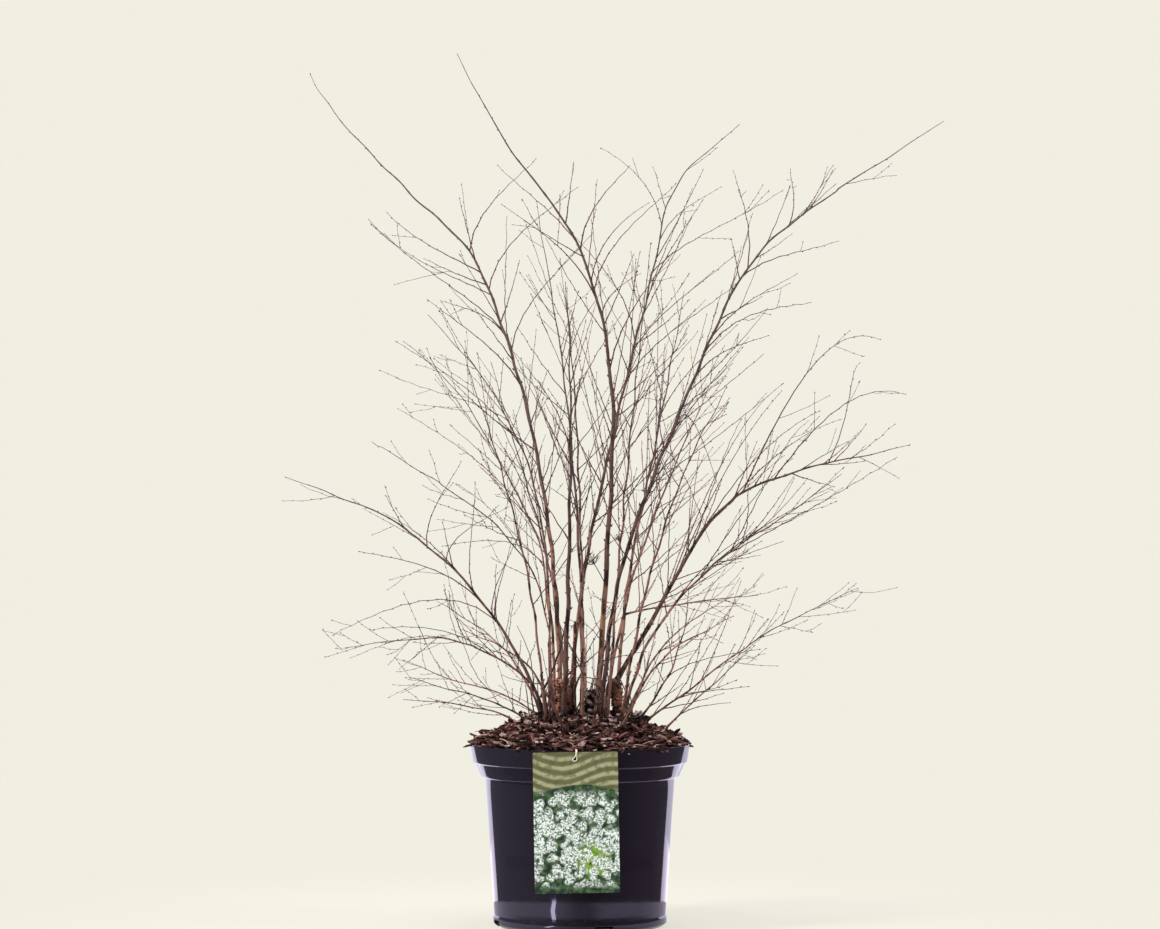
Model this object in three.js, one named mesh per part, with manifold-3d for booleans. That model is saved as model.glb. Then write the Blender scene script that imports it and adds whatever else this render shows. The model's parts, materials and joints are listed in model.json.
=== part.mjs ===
// A bare winter spirea shrub in a round nursery pot. Millimetres, +Z up.
// The origin is the middle of the pot's flat underside; -Y is the front, where the label hangs.
//
// Many thin canes rise from one clump of old wood on a mound of bark mulch. Each cane is one
// tapering limb. Where its side shoots begin it ends, and a spray carries it on: a stem with
// twigs that branch by a seeded rule, all fused into one solid.

import * as THREE from 'three';
import { mergeVertices } from 'three/addons/utils/BufferGeometryUtils.js';
import Module from 'manifold-3d';

const wasm = await Module();
wasm.setup();

// ---------------------------------------------------------------- driving dimensions

const SEAT_GAP = 0.3; // between pieces that touch

const POT_HEIGHT = 230;
const POT_WALL = 2.6;
const POT_FLOOR = 3;
const POT_FACETS = 36;
const RIM_RADIUS = 140;
const RIDGE_RADIUS = 136;
const RIDGE_Z = 208;
const RIDGE_STEP = [3, 2]; // in and down, from the ridge to the collar under it
const COLLAR_RADIUS = 126;
const COLLAR_Z = 189;
const BODY_TOP_RADIUS = 119.8;
const BODY_TOP_Z = 187;
const BODY_FOOT_RADIUS = 108.4;
const LIP_RADIUS = 109.8;
const LIP_HEIGHT = 12;
const LIP_BEVEL = 4;
const LIP_FILLET = 2;
const UNDERSIDE_RADIUS = 105;

const SLOT_COUNT = 4;
const SLOT_WIDTH = 23;
const SLOT_HEIGHT = 9;
const SLOT_DEPTH = 16;
const SLOT_TURN = -74; // degrees: the first slot, a little right of the front

// The mulch's mound: radius and height of each ring, from the rim to the crown.
const MOUND = [[136.4, 232], [114, 249], [88, 262], [52, 267], [0, 269]];

const CARD_WIDTH = 105;
const CARD_HEIGHT = 174;
const CARD_THICKNESS = 0.8;
const CARD_BOTTOM = 54.5;
const CARD_X = -4.5;
const CARD_TILT = -1; // degrees, its right end a little higher
const TIE_WIDTH = 3;
const TIE_THICKNESS = 0.9;
const TIE_DROP = 13;

// A limb's radius falls from its foot to its tip.
const TIP_RADIUS = 0.6;
const TAPER = 0.8;
const FLARE = 0.3; // share added at the foot, and lost over this height
const FLARE_HEIGHT = 22;
const FOOT_SHARE = 0.65; // a foot's radius, of its girth
const STUMP_SHARES = [0.62, 0.5, 0.46]; // a stump's radius at its foot, waist and top
const STUMP_WAIST = 0.4; // share of its height
const CANE_STEP = 46; // length of one ring of facets on a cane, and on a spray's stem
const STEM_STEP = 56;
const CANE_SIDES = 7;
const STUMP_SIDES = 9;
const STEM_SIDES = 5;
const TWIG_SIDES = 3;

// The crown, but for its longest shoots, is an egg round its belt.
const CROWN_RADIUS = 300;
const CROWN_BELT_Z = 600;
const CROWN_HALF_HEIGHT = 460;
const SHORT_SHOOT = 75; // one this short may stand outside the egg

// The growth rule: where shoots stand on a stem, how they lean out, and how long they are.
const SHOOT_SPACING = 46;
const TWIG_SPACING = 90;
const SHOOT_PLACE = [0.3, 0.8]; // where in its spacing a shoot may stand
const TWIG_PLACE = [0.25, 0.75];
const GOLDEN_TURN = 2.39996; // radians from one shoot to the next, round the stem
const LEAN = [0.58, 0.88]; // radians away from the parent, least and most
const RISE = [-0.06, 0.2]; // share of its length that a shoot bends down or up by
const LENGTH_SPREAD = [0.78, 1.18];
const INWARD_SHARE = 0.32; // length of a shoot that points at the middle, of an outer one's
const TIP_SHARE = 0.4; // length of the highest shoots, of the lowest ones'
const TWIG_SHARE = 0.62; // length of a twig, of what is left of its shoot
const SHORTEST_TWIG = 24;
const FIRST_TWIG = 0.28; // share of a shoot below its first twig, and with twigs
const TWIG_STRETCH = 0.62;
const ROOT_SHARE = 0.6; // a shoot's radius at its root, of its parent's
const THICKEST_SHOOT = 1.2;
const THICKEST_LEAD = 1.35;
const THINNING = 0.45; // share of its radius that a shoot loses before its pointed end
const LEAD_STEPS = 5;
const LEAD_RUN = 1 / 6; // share of its length for which a lead follows its stem
const LEAD_TURN = 2 / 3; // share after which it heads for its tip
const LONG_SHOOT = 90; // from this length a shoot has three steps, below it two
const CLEARANCE = 0.45; // least air between two limbs
const TRIES = 9; // to find a shoot a free way, each a little shorter and further round
const SHORTENING = 0.09;
const FIRST_SWING = 0.7; // radians that the first try may turn by, and each later one more
const MORE_SWING = 0.5;
const FIRST_SEED = 4127;
const LEAD_SLIDE = 8; // a lead's tip slides this far to the front or back, more at each try
const LOWEST_TIP = 270; // no tip hangs into the mulch

// ---------------------------------------------------------------- the limbs

// foot: where it stands on the mulch, x and y. bends and tip: x, y, z.
// girth: its diameter at the foot. clean: the height up to which it bears no shoots.
// whip: the share of its spray's stem, from the tip back, that bears none either.
// long: the length of its lowest side shoots.
// leads: its main side shoots, as the height where each leaves the stem, its tip, and how
// far its middle arches above the straight way there.
const CANES = [
  { name: 'left_leader', girth: 7.2, foot: [-23, 12], clean: 470, whip: 0.42, long: 170,
    bends: [[-37, 25, 481], [-75, 50, 682], [-140, 88, 859], [-186, 104, 900], [-316, 150, 1034]],
    tip: [-353, 165, 1093],
    leads: [[859, -56, 30, 972, 8], [800, -277, 190, 904, -20], [830, -247, 60, 905, -12],
      [745, -180, 170, 797, 4], [682, -192, -10, 791, 4]] },
  { name: 'left_inner', girth: 5.2, foot: [-31, 36], clean: 440, whip: 0.1, long: 150,
    bends: [[-37, 58, 389], [-59, 95, 560], [-121, 126, 690]], tip: [-198, 150, 777],
    leads: [[606, -236, 70, 741, 8], [640, -260, 150, 706, -6]] },
  { name: 'centre_leader', girth: 9.0, foot: [21, -18], clean: 500, whip: 0.36, long: 160,
    bends: [[33, -33, 449], [40, -62, 686], [-2, -88, 858], [-87, -120, 973]],
    tip: [-151, -150, 1087],
    leads: [[700, 120, -150, 850, 10], [790, -95, -190, 900, 8], [850, 62, -80, 955, 10]] },
  { name: 'right_leader', girth: 7.0, foot: [26, 12], clean: 500, whip: 0.2, long: 150,
    bends: [[52, 16, 451], [132, 10, 662], [207, -8, 827], [283, -30, 900]], tip: [452, -90, 1009],
    leads: [[832, 197, 60, 959, 12], [896, 313, -130, 953, 2], [885, 269, 50, 960, 8],
      [820, 331, 70, 870, 0], [737, 270, -90, 820, 6], [722, 298, 110, 792, 12],
      [692, 235, -60, 744, 6]] },
  { name: 'forked_cane', girth: 5.4, foot: [-21, -42], clean: 450, whip: 0.05, long: 120,
    bends: [[-15, -66, 426], [-12, -106, 653]], tip: [-16, -135, 800],
    leads: [[715, 30, -160, 800, 6], [600, -80, -190, 720, 8]] },
  { name: 'centre_cane', girth: 6.2, foot: [-15, 47], clean: 480, whip: 0.12, long: 150,
    bends: [[6, 42, 453], [52, 40, 663], [97, 54, 845], [119, 72, 942]], tip: [205, 100, 1021],
    leads: [[890, 28, 110, 992, 14], [828, 255, -20, 929, -4], [870, 183, 140, 944, 4],
      [792, 156, 20, 919, 4], [740, -10, 90, 880, 12]] },
  { name: 'right_cane', girth: 5.2, foot: [46, 28], clean: 440, whip: 0.08, long: 150,
    bends: [[62, 69, 435], [97, 126, 602]], tip: [138, 200, 810],
    leads: [[560, 190, 190, 700, 14]] },
  { name: 'right_low_cane', girth: 7.4, on: 'right_old_wood', clean: 400, whip: 0.1, long: 150,
    bends: [[110, -22, 421], [157, -32, 506], [206, -39, 551], [275, -46, 576]],
    tip: [412, -62, 607],
    leads: [[548, 372, -110, 738, 66], [566, 413, 10, 672, 40], [585, 345, -130, 708, 26]] },
  { name: 'right_side_cane', girth: 5.0, foot: [57, 14], clean: 380, whip: 0.1, long: 140,
    bends: [[79, 36, 344], [117, 58, 399], [177, 86, 460], [254, 114, 508]],
    tip: [340, 150, 570],
    leads: [[470, 300, 190, 640, 26]] },
  { name: 'left_low_cane', girth: 6.0, foot: [-47, -6], clean: 365, whip: 0.15, long: 120,
    bends: [[-61, -2, 309], [-128, 15, 415], [-235, 37, 510]], tip: [-377, 60, 566],
    leads: [[405, -277, -30, 473, 10], [400, -305, 60, 376, 26], [440, -255, 130, 520, 8]] },
  { name: 'left_middle_cane', girth: 4.6, foot: [-37, 62], clean: 400, whip: 0.08, long: 130,
    bends: [[-46, 96, 460], [-90, 140, 560], [-160, 180, 680]], tip: [-232, 215, 745],
    leads: [[500, -235, 120, 655, 12], [520, -190, 200, 700, 10]] },
  { name: 'left_front_cane', girth: 4.0, foot: [-33, -34], clean: 380, whip: 0.08, long: 120,
    bends: [[-47, -77, 423], [-114, -116, 518]], tip: [-254, -172, 610],
    leads: [[455, -150, -230, 560, 12]] },
  { name: 'front_cane', girth: 4.6, foot: [3, -54], clean: 430, whip: 0.06, long: 140,
    bends: [[2, -90, 430], [-5, -180, 640]], tip: [-18, -290, 800] },
  { name: 'front_upright', girth: 4.4, foot: [35, -37], clean: 440, whip: 0.06, long: 140,
    bends: [[45, -70, 420], [62, -140, 620]], tip: [85, -240, 850] },
  { name: 'front_left_cane', girth: 4.8, foot: [-43, -55], clean: 390, whip: 0.06, long: 140,
    bends: [[-62, -110, 430], [-100, -205, 590]], tip: [-135, -310, 700] },
  { name: 'front_right_cane', girth: 4.8, foot: [52, -46], clean: 390, whip: 0.06, long: 140,
    bends: [[80, -110, 420], [125, -205, 570]], tip: [175, -310, 675] },
  { name: 'back_upright', girth: 5.0, foot: [2, 26], clean: 450, whip: 0.1, long: 150,
    bends: [[0, 75, 450], [-20, 150, 690]], tip: [-58, 250, 930] },
  { name: 'back_left_cane', girth: 5.0, foot: [-12, 72], clean: 400, whip: 0.06, long: 150,
    bends: [[-38, 150, 440], [-80, 235, 590]], tip: [-120, 345, 720] },
  { name: 'back_right_cane', girth: 5.0, foot: [30, 60], clean: 400, whip: 0.06, long: 150,
    bends: [[66, 135, 430], [120, 230, 570]], tip: [175, 340, 690] },
];

// Basal shoots too thin to have a clean cane: each is a spray from the mulch, or from the
// side of a cane at a height.
const BASAL = [
  { name: 'left_fork_spray', girth: 3.8, on: 'left_low_cane', at: 306, long: 80,
    bends: [[-105, -50, 343], [-170, -88, 368]], tip: [-288, -150, 358] },
  { name: 'left_back_spray', girth: 3.4, foot: [-56, 40], long: 75,
    bends: [[-100, 72, 290], [-174, 125, 305]], tip: [-232, 178, 328] },
  { name: 'left_front_spray', girth: 3.2, foot: [-68, -48], long: 70,
    bends: [[-100, -80, 285], [-160, -140, 306]], tip: [-206, -190, 322] },
  { name: 'left_trailing_spray', girth: 2.8, foot: [-90, 8], long: 50,
    bends: [[-130, 14, 276]], tip: [-224, 30, 284] },
  { name: 'right_front_spray', girth: 3.4, foot: [76, -32], long: 70,
    bends: [[112, -74, 320], [130, -106, 380]], tip: [134, -150, 430] },
  { name: 'right_low_spray', girth: 3.6, foot: [88, -12], long: 90,
    bends: [[151, -31, 309], [234, -53, 372]], tip: [346, -82, 428] },
  { name: 'right_trailing_spray', girth: 3.2, foot: [112, 25], long: 60,
    bends: [[145, 47, 280]], tip: [226, 112, 348] },
  { name: 'right_side_spray', girth: 2.8, on: 'right_cane', at: 392, long: 70,
    bends: [[104, 78, 400]], tip: [230, 122, 414] },
  { name: 'low_back_spray', girth: 4.0, foot: [8, 92], long: 100,
    bends: [[4, 180, 360]], tip: [-12, 350, 440] },
  { name: 'low_back_left_spray', girth: 3.8, foot: [-46, 84], long: 90,
    bends: [[-100, 165, 345]], tip: [-190, 285, 400] },
  { name: 'low_back_right_spray', girth: 3.8, foot: [58, 80], long: 90,
    bends: [[110, 160, 350]], tip: [205, 280, 410] },
  { name: 'low_front_spray', girth: 4.0, foot: [18, -84], long: 100,
    bends: [[28, -180, 350]], tip: [46, -345, 430] },
  { name: 'low_front_left_spray', girth: 3.8, foot: [-24, -82], long: 90,
    bends: [[-66, -165, 340]], tip: [-140, -285, 385] },
  { name: 'low_front_right_spray', girth: 3.8, foot: [56, -72], long: 90,
    bends: [[100, -150, 345]], tip: [185, -262, 400] },
];

// Old wood left by pruning: short thick stumps.
const STUMPS = [
  { name: 'left_old_wood', girth: 17, foot: [-24, -17], top: [-23, -18, 312] },
  { name: 'right_old_wood', girth: 11.5, foot: [48, -8], top: [46, -8, 309] },
  { name: 'pruned_stub', girth: 5.2, foot: [-8, 2], top: [-6, 0, 385] },
];

// ---------------------------------------------------------------- looks

const finish = (color, roughness) => new THREE.MeshStandardMaterial({ color, roughness });
const POT_PLASTIC = finish(0x1d1a24, 0.25);
const MULCH = finish(0x3a261f, 0.95);
const CARD = finish(0x6f8f5a, 0.45);
const TIE = finish(0xe6e2d6, 0.5);
const BARK = finish(0x5d3a2c, 0.8);
const TWIG = finish(0x4a3336, 0.8);
const OLD_BARK = finish(0x6b4234, 0.9);

// ---------------------------------------------------------------- solids

// A closed mesh of positions only, its shared vertices merged and its faces pointing out.
function closed(geometry) {
  geometry.deleteAttribute('normal');
  geometry.deleteAttribute('uv');
  const merged = mergeVertices(geometry, 1e-4);
  const at = merged.attributes.position;
  const index = merged.index.array;
  const [a, b, c] = [new THREE.Vector3(), new THREE.Vector3(), new THREE.Vector3()];
  let volume = 0;
  for (let i = 0; i < index.length; i += 3) {
    a.fromBufferAttribute(at, index[i]);
    b.fromBufferAttribute(at, index[i + 1]);
    c.fromBufferAttribute(at, index[i + 2]);
    volume += a.dot(b.cross(c));
  }
  if (volume < 0) {
    for (let i = 0; i < index.length; i += 3) {
      [index[i], index[i + 1]] = [index[i + 1], index[i]];
    }
  }
  return merged;
}

function toManifold(geometry) {
  const mesh = new wasm.Mesh({
    numProp: 3,
    vertProperties: new Float32Array(geometry.attributes.position.array),
    triVerts: new Uint32Array(geometry.index.array),
  });
  return new wasm.Manifold(mesh);
}

function fromManifold(solid) {
  const mesh = solid.getMesh();
  const geometry = new THREE.BufferGeometry();
  geometry.setAttribute('position', new THREE.BufferAttribute(mesh.vertProperties, 3));
  geometry.setIndex(new THREE.BufferAttribute(mesh.triVerts, 1));
  geometry.computeVertexNormals();
  return geometry;
}

// All pieces fused into one solid, without any scrap that stands loose.
function fused(geometries) {
  let solid = toManifold(geometries[0]);
  for (const geometry of geometries.slice(1)) {
    solid = solid.add(toManifold(geometry));
  }
  const bodies = solid.decompose();
  bodies.sort((one, other) => other.volume() - one.volume());
  return fromManifold(bodies[0]);
}

function turned(profile) {
  const outline = profile.map(([radius, z]) => new THREE.Vector2(radius, z));
  const geometry = new THREE.LatheGeometry(outline, POT_FACETS);
  geometry.rotateX(Math.PI / 2);
  return closed(geometry);
}

// ---------------------------------------------------------------- pot, mulch, label

function makePot() {
  const inner = (radius) => radius - POT_WALL;
  const shell = turned([
    [0, 0],
    [UNDERSIDE_RADIUS, 0],
    [LIP_RADIUS, LIP_BEVEL],
    [LIP_RADIUS, LIP_HEIGHT],
    [BODY_FOOT_RADIUS, LIP_HEIGHT + LIP_FILLET],
    [BODY_TOP_RADIUS, BODY_TOP_Z],
    [COLLAR_RADIUS, COLLAR_Z],
    [RIDGE_RADIUS - RIDGE_STEP[0], RIDGE_Z - RIDGE_STEP[1]],
    [RIDGE_RADIUS, RIDGE_Z],
    [RIM_RADIUS, POT_HEIGHT],
    [inner(RIM_RADIUS), POT_HEIGHT],
    [inner(RIDGE_RADIUS), RIDGE_Z + POT_WALL],
    [inner(COLLAR_RADIUS), COLLAR_Z + POT_WALL],
    [inner(BODY_TOP_RADIUS), BODY_TOP_Z + POT_WALL],
    [inner(BODY_FOOT_RADIUS), LIP_HEIGHT],
    [inner(BODY_FOOT_RADIUS), POT_FLOOR],
    [0, POT_FLOOR],
  ]);
  let pot = toManifold(shell);
  for (let i = 0; i < SLOT_COUNT; i++) {
    const slot = new THREE.BoxGeometry(SLOT_DEPTH, SLOT_WIDTH, 2 * SLOT_HEIGHT);
    slot.translate(LIP_RADIUS, 0, 0);
    slot.rotateZ(THREE.MathUtils.degToRad(SLOT_TURN + (i * 360) / SLOT_COUNT));
    pot = pot.subtract(toManifold(closed(slot)));
  }
  return fromManifold(pot);
}

function makeMulch() {
  const inner = (radius) => radius - POT_WALL - SEAT_GAP;
  return turned([
    [0, POT_FLOOR + SEAT_GAP],
    [inner(BODY_FOOT_RADIUS), POT_FLOOR + SEAT_GAP],
    [inner(BODY_FOOT_RADIUS), LIP_HEIGHT],
    [inner(BODY_TOP_RADIUS), BODY_TOP_Z + POT_WALL + SEAT_GAP],
    [inner(COLLAR_RADIUS), COLLAR_Z + POT_WALL + SEAT_GAP],
    [inner(RIDGE_RADIUS), RIDGE_Z + POT_WALL + SEAT_GAP],
    [MOUND[0][0], POT_HEIGHT],
    ...MOUND,
  ]);
}

// The mound's height at a distance from the pot's middle.
function moundHeight(radius) {
  for (let i = 1; i < MOUND.length; i++) {
    const [outer, low] = MOUND[i - 1];
    const [inner, high] = MOUND[i];
    if (radius >= inner) {
      return low + ((high - low) * (outer - radius)) / (outer - inner);
    }
  }
  return MOUND[MOUND.length - 1][1];
}

// The card hangs flat against the front of the rim.
function makeCard() {
  const card = new THREE.BoxGeometry(CARD_WIDTH, CARD_THICKNESS, CARD_HEIGHT);
  card.rotateY(THREE.MathUtils.degToRad(CARD_TILT));
  const y = -RIM_RADIUS - SEAT_GAP - CARD_THICKNESS / 2;
  card.translate(CARD_X, y, CARD_BOTTOM + CARD_HEIGHT / 2);
  return closed(card);
}

// Its tie lies over the rim and down the card's face.
function makeTie() {
  const top = POT_HEIGHT + SEAT_GAP;
  const face = -RIM_RADIUS - CARD_THICKNESS - 2 * SEAT_GAP;
  const back = -RIM_RADIUS + POT_WALL + SEAT_GAP;
  const outline = new THREE.Shape();
  outline.moveTo(back, top);
  outline.lineTo(face, top);
  outline.lineTo(face, top - TIE_DROP);
  outline.lineTo(face - TIE_THICKNESS, top - TIE_DROP);
  outline.lineTo(face - TIE_THICKNESS, top + TIE_THICKNESS);
  outline.lineTo(back, top + TIE_THICKNESS);
  outline.closePath();
  const tie = new THREE.ExtrudeGeometry(outline, { depth: TIE_WIDTH, bevelEnabled: false });
  // The outline's x runs along Y, its y along Z and its depth along X.
  const basis = new THREE.Matrix4().makeBasis(
    new THREE.Vector3(0, 1, 0), new THREE.Vector3(0, 0, 1), new THREE.Vector3(1, 0, 0));
  tie.applyMatrix4(basis);
  tie.translate(CARD_X - TIE_WIDTH / 2, 0, 0);
  return closed(tie);
}

// ---------------------------------------------------------------- limbs

// A path is a smooth curve through its stations, measured along its length.
const SAMPLES_PER_SPAN = 16;
const DIRECTION_REACH = 4; // a limb's direction is taken over this far either way
const TINY = 1e-9;
const NEAR_ALONG_X = 0.8;
const UP = new THREE.Vector3(0, 0, 1);

function smoothPath(stations) {
  const curve = new THREE.CatmullRomCurve3(stations, false, 'catmullrom', 0.5);
  const count = SAMPLES_PER_SPAN * (stations.length - 1);
  const points = [];
  for (let i = 0; i <= count; i++) {
    points.push(curve.getPoint(i / count));
  }
  return measured(points);
}

function measured(points) {
  const reached = [0];
  for (let i = 1; i < points.length; i++) {
    reached.push(reached[i - 1] + points[i].distanceTo(points[i - 1]));
  }
  return { points, reached, length: reached[reached.length - 1] };
}

function pointAt(path, distance) {
  let i = 1;
  while (i < path.points.length - 1 && path.reached[i] < distance) {
    i++;
  }
  const share = (distance - path.reached[i - 1]) / (path.reached[i] - path.reached[i - 1]);
  return new THREE.Vector3().lerpVectors(path.points[i - 1], path.points[i], share);
}

function directionAt(path, distance) {
  const half = Math.min(DIRECTION_REACH, path.length / 4);
  const from = pointAt(path, Math.max(0, distance - half));
  const to = pointAt(path, Math.min(path.length, distance + half));
  return to.sub(from).normalize();
}

function distanceAtHeight(path, z) {
  let i = 1;
  while (i < path.points.length - 1 && path.points[i].z < z) {
    i++;
  }
  const [low, high] = [path.points[i - 1].z, path.points[i].z];
  const share = THREE.MathUtils.clamp((z - low) / (high - low), 0, 1);
  return path.reached[i - 1] + share * (path.reached[i] - path.reached[i - 1]);
}

function caneRadius(girth, distance, length) {
  const left = Math.max(0, 1 - distance / length);
  const taper = TIP_RADIUS + (girth / 2 - TIP_RADIUS) * left ** TAPER;
  return taper * (1 + FLARE * Math.max(0, 1 - distance / FLARE_HEIGHT));
}

// One limb: a cylinder or a cone whose rings follow the centres. A foot is cut square to
// what it stands on, whose outward direction is given.
function limbSolid(centres, radii, sides, foot) {
  const steps = centres.length - 1;
  const pointed = radii[steps] === 0;
  const limb = pointed
    ? new THREE.ConeGeometry(1, 1, sides, steps)
    : new THREE.CylinderGeometry(1, 1, 1, sides, steps);
  const frames = [];
  const across = new THREE.Vector3(1, 0, 0);
  for (let i = 0; i <= steps; i++) {
    const before = centres[Math.max(0, i - 1)];
    const after = centres[Math.min(steps, i + 1)];
    const forward = after.clone().sub(before).normalize();
    if (i === 0 && foot) {
      forward.copy(foot);
    }
    if (i === 0 && Math.abs(forward.x) > NEAR_ALONG_X) {
      across.set(0, 1, 0);
    }
    across.addScaledVector(forward, -across.dot(forward)).normalize();
    frames.push([across.clone(), forward.cross(across)]);
  }
  const position = limb.attributes.position;
  const point = new THREE.Vector3();
  for (let v = 0; v < position.count; v++) {
    const i = Math.round((position.getY(v) + 0.5) * steps);
    const ring = Math.hypot(position.getX(v), position.getZ(v));
    const spread = ring > TINY ? radii[i] / ring : 0;
    point.copy(centres[i]);
    point.addScaledVector(frames[i][0], position.getX(v) * spread);
    point.addScaledVector(frames[i][1], position.getZ(v) * spread);
    position.setXYZ(v, point.x, point.y, point.z);
  }
  return closed(limb);
}

// ---------------------------------------------------------------- keeping limbs apart

const placed = []; // every limb so far: its centres and their radii

// The least distance between two straight stretches, from their ends.
function stretchDistance(a, b, c, d) {
  const u = b.clone().sub(a);
  const v = d.clone().sub(c);
  const w = a.clone().sub(c);
  const [uu, uv, vv, uw, vw] = [u.dot(u), u.dot(v), v.dot(v), u.dot(w), v.dot(w)];
  const slack = uu * vv - uv * uv;
  let s = slack > TINY ? THREE.MathUtils.clamp((uv * vw - vv * uw) / slack, 0, 1) : 0;
  const t = THREE.MathUtils.clamp((uv * s + vw) / vv, 0, 1);
  s = THREE.MathUtils.clamp((uv * t - uw) / uu, 0, 1);
  return w.addScaledVector(u, s).addScaledVector(v, -t).length();
}

function isClear(centres, radii, parent) {
  for (const other of placed) {
    if (other === parent) {
      continue;
    }
    for (let i = 1; i < centres.length; i++) {
      for (let j = 1; j < other.centres.length; j++) {
        const air = stretchDistance(
          centres[i - 1], centres[i], other.centres[j - 1], other.centres[j]);
        const reach = Math.max(radii[i - 1], radii[i])
          + Math.max(other.radii[j - 1], other.radii[j]);
        if (air < reach + CLEARANCE) {
          return false;
        }
      }
    }
  }
  return true;
}

// ---------------------------------------------------------------- the growth rule

// Even random numbers from 0 to 1, the same on every machine.
function dice(seed) {
  let state = Math.imul(seed, 2654435761) >>> 0;
  return () => {
    state = (Math.imul(state, 1664525) + 1013904223) >>> 0;
    return state / 4294967296;
  };
}

function insideCrown(point) {
  const height = (point.z - CROWN_BELT_Z) / CROWN_HALF_HEIGHT;
  if (Math.abs(height) >= 1) {
    return false;
  }
  return Math.hypot(point.x, point.y) < CROWN_RADIUS * Math.sqrt(1 - height * height);
}

// The heading at an angle from a limb's direction, turned round it.
function heading(forward, lean, turn) {
  const side = new THREE.Vector3(1, 0, 0);
  if (Math.abs(forward.x) > NEAR_ALONG_X) {
    side.set(0, 1, 0);
  }
  const across = new THREE.Vector3().crossVectors(forward, side).normalize();
  const over = new THREE.Vector3().crossVectors(forward, across);
  return forward.clone().multiplyScalar(Math.cos(lean))
    .addScaledVector(across, Math.sin(lean) * Math.cos(turn))
    .addScaledVector(over, Math.sin(lean) * Math.sin(turn));
}

function shootRadii(root, steps) {
  const radii = [];
  for (let i = 0; i < steps; i++) {
    radii.push(root * (1 - (THINNING * i) / steps));
  }
  radii.push(0);
  return radii;
}

// A shoot leaves its parent along one heading and bends up or down on its way.
function shootCentres(from, along, length, rise, steps) {
  const up = UP.clone().multiplyScalar(length * rise);
  const curve = new THREE.CubicBezierCurve3(
    from,
    from.clone().addScaledVector(along, length / 3),
    from.clone().addScaledVector(along, (2 * length) / 3).addScaledVector(up, 1 / 3),
    from.clone().addScaledVector(along, length).add(up));
  return curve.getPoints(steps);
}

// A main side shoot leaves along its stem and arches over to a given tip. The curve rises
// by three quarters of what its two handles are lifted by.
function leadCentres(from, forward, tip, arch, sway) {
  const span = tip.clone().sub(from);
  const lift = new THREE.Vector3(0, sway, (4 / 3) * arch);
  const curve = new THREE.CubicBezierCurve3(
    from,
    from.clone().addScaledVector(forward, span.length() * LEAD_RUN)
      .addScaledVector(span, LEAD_RUN).add(lift),
    from.clone().addScaledVector(span, LEAD_TURN).add(lift),
    tip);
  return curve.getPoints(LEAD_STEPS);
}

const between = ([least, most], share) => least + (most - least) * share;

function growLead(parent, distance, tip, arch, roll) {
  const from = pointAt(parent.path, distance);
  const forward = directionAt(parent.path, distance);
  const root = Math.min(THICKEST_LEAD, ROOT_SHARE * parent.radiusAt(distance));
  const radii = shootRadii(root, LEAD_STEPS);
  for (let attempt = 0; attempt < TRIES; attempt++) {
    const slide = (roll() - 0.5) * 2 * LEAD_SLIDE * attempt;
    const sway = (roll() - 0.5) * 2 * LEAD_SLIDE * attempt;
    const end = new THREE.Vector3(tip[0], tip[1] + slide, tip[2]);
    const centres = leadCentres(from, forward, end, arch, sway);
    if (isClear(centres, radii, parent.limb)) {
      return { centres, radii };
    }
  }
  return null;
}

// A side shoot by the rule: long on the crown's outer side, short on its inner side.
function growShoot(parent, distance, turn, length, roll) {
  const from = pointAt(parent.path, distance);
  const forward = directionAt(parent.path, distance);
  const root = Math.min(THICKEST_SHOOT, ROOT_SHARE * parent.radiusAt(distance));
  const outward = new THREE.Vector3(from.x, from.y, 0).normalize();
  for (let attempt = 0; attempt < TRIES; attempt++) {
    const swing = (roll() - 0.5) * (FIRST_SWING + MORE_SWING * attempt);
    const along = heading(forward, between(LEAN, roll()), turn + swing);
    const rise = between(RISE, roll());
    const outer = (1 + along.dot(outward)) / 2;
    const share = between([INWARD_SHARE, 1], outer) * between(LENGTH_SPREAD, roll());
    const reach = length * share * (1 - SHORTENING * attempt);
    const steps = reach > LONG_SHOOT ? 3 : 2;
    const centres = shootCentres(from, along, reach, rise, steps);
    const radii = shootRadii(root, steps);
    const end = centres[steps];
    const belongs = insideCrown(end) || reach < SHORT_SHOOT;
    if (belongs && end.z > LOWEST_TIP && isClear(centres, radii, parent.limb)) {
      return { centres, radii };
    }
  }
  return null;
}

// A limb that others can grow from, with its radius at any distance along it.
function bearer(limb) {
  const path = measured(limb.centres);
  const last = limb.radii.length - 1;
  const radiusAt = (distance) => {
    const place = (distance / path.length) * last;
    const step = Math.min(Math.floor(place), last - 1);
    return THREE.MathUtils.lerp(limb.radii[step], limb.radii[step + 1], place - step);
  };
  return { limb, path, radiusAt };
}

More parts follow.
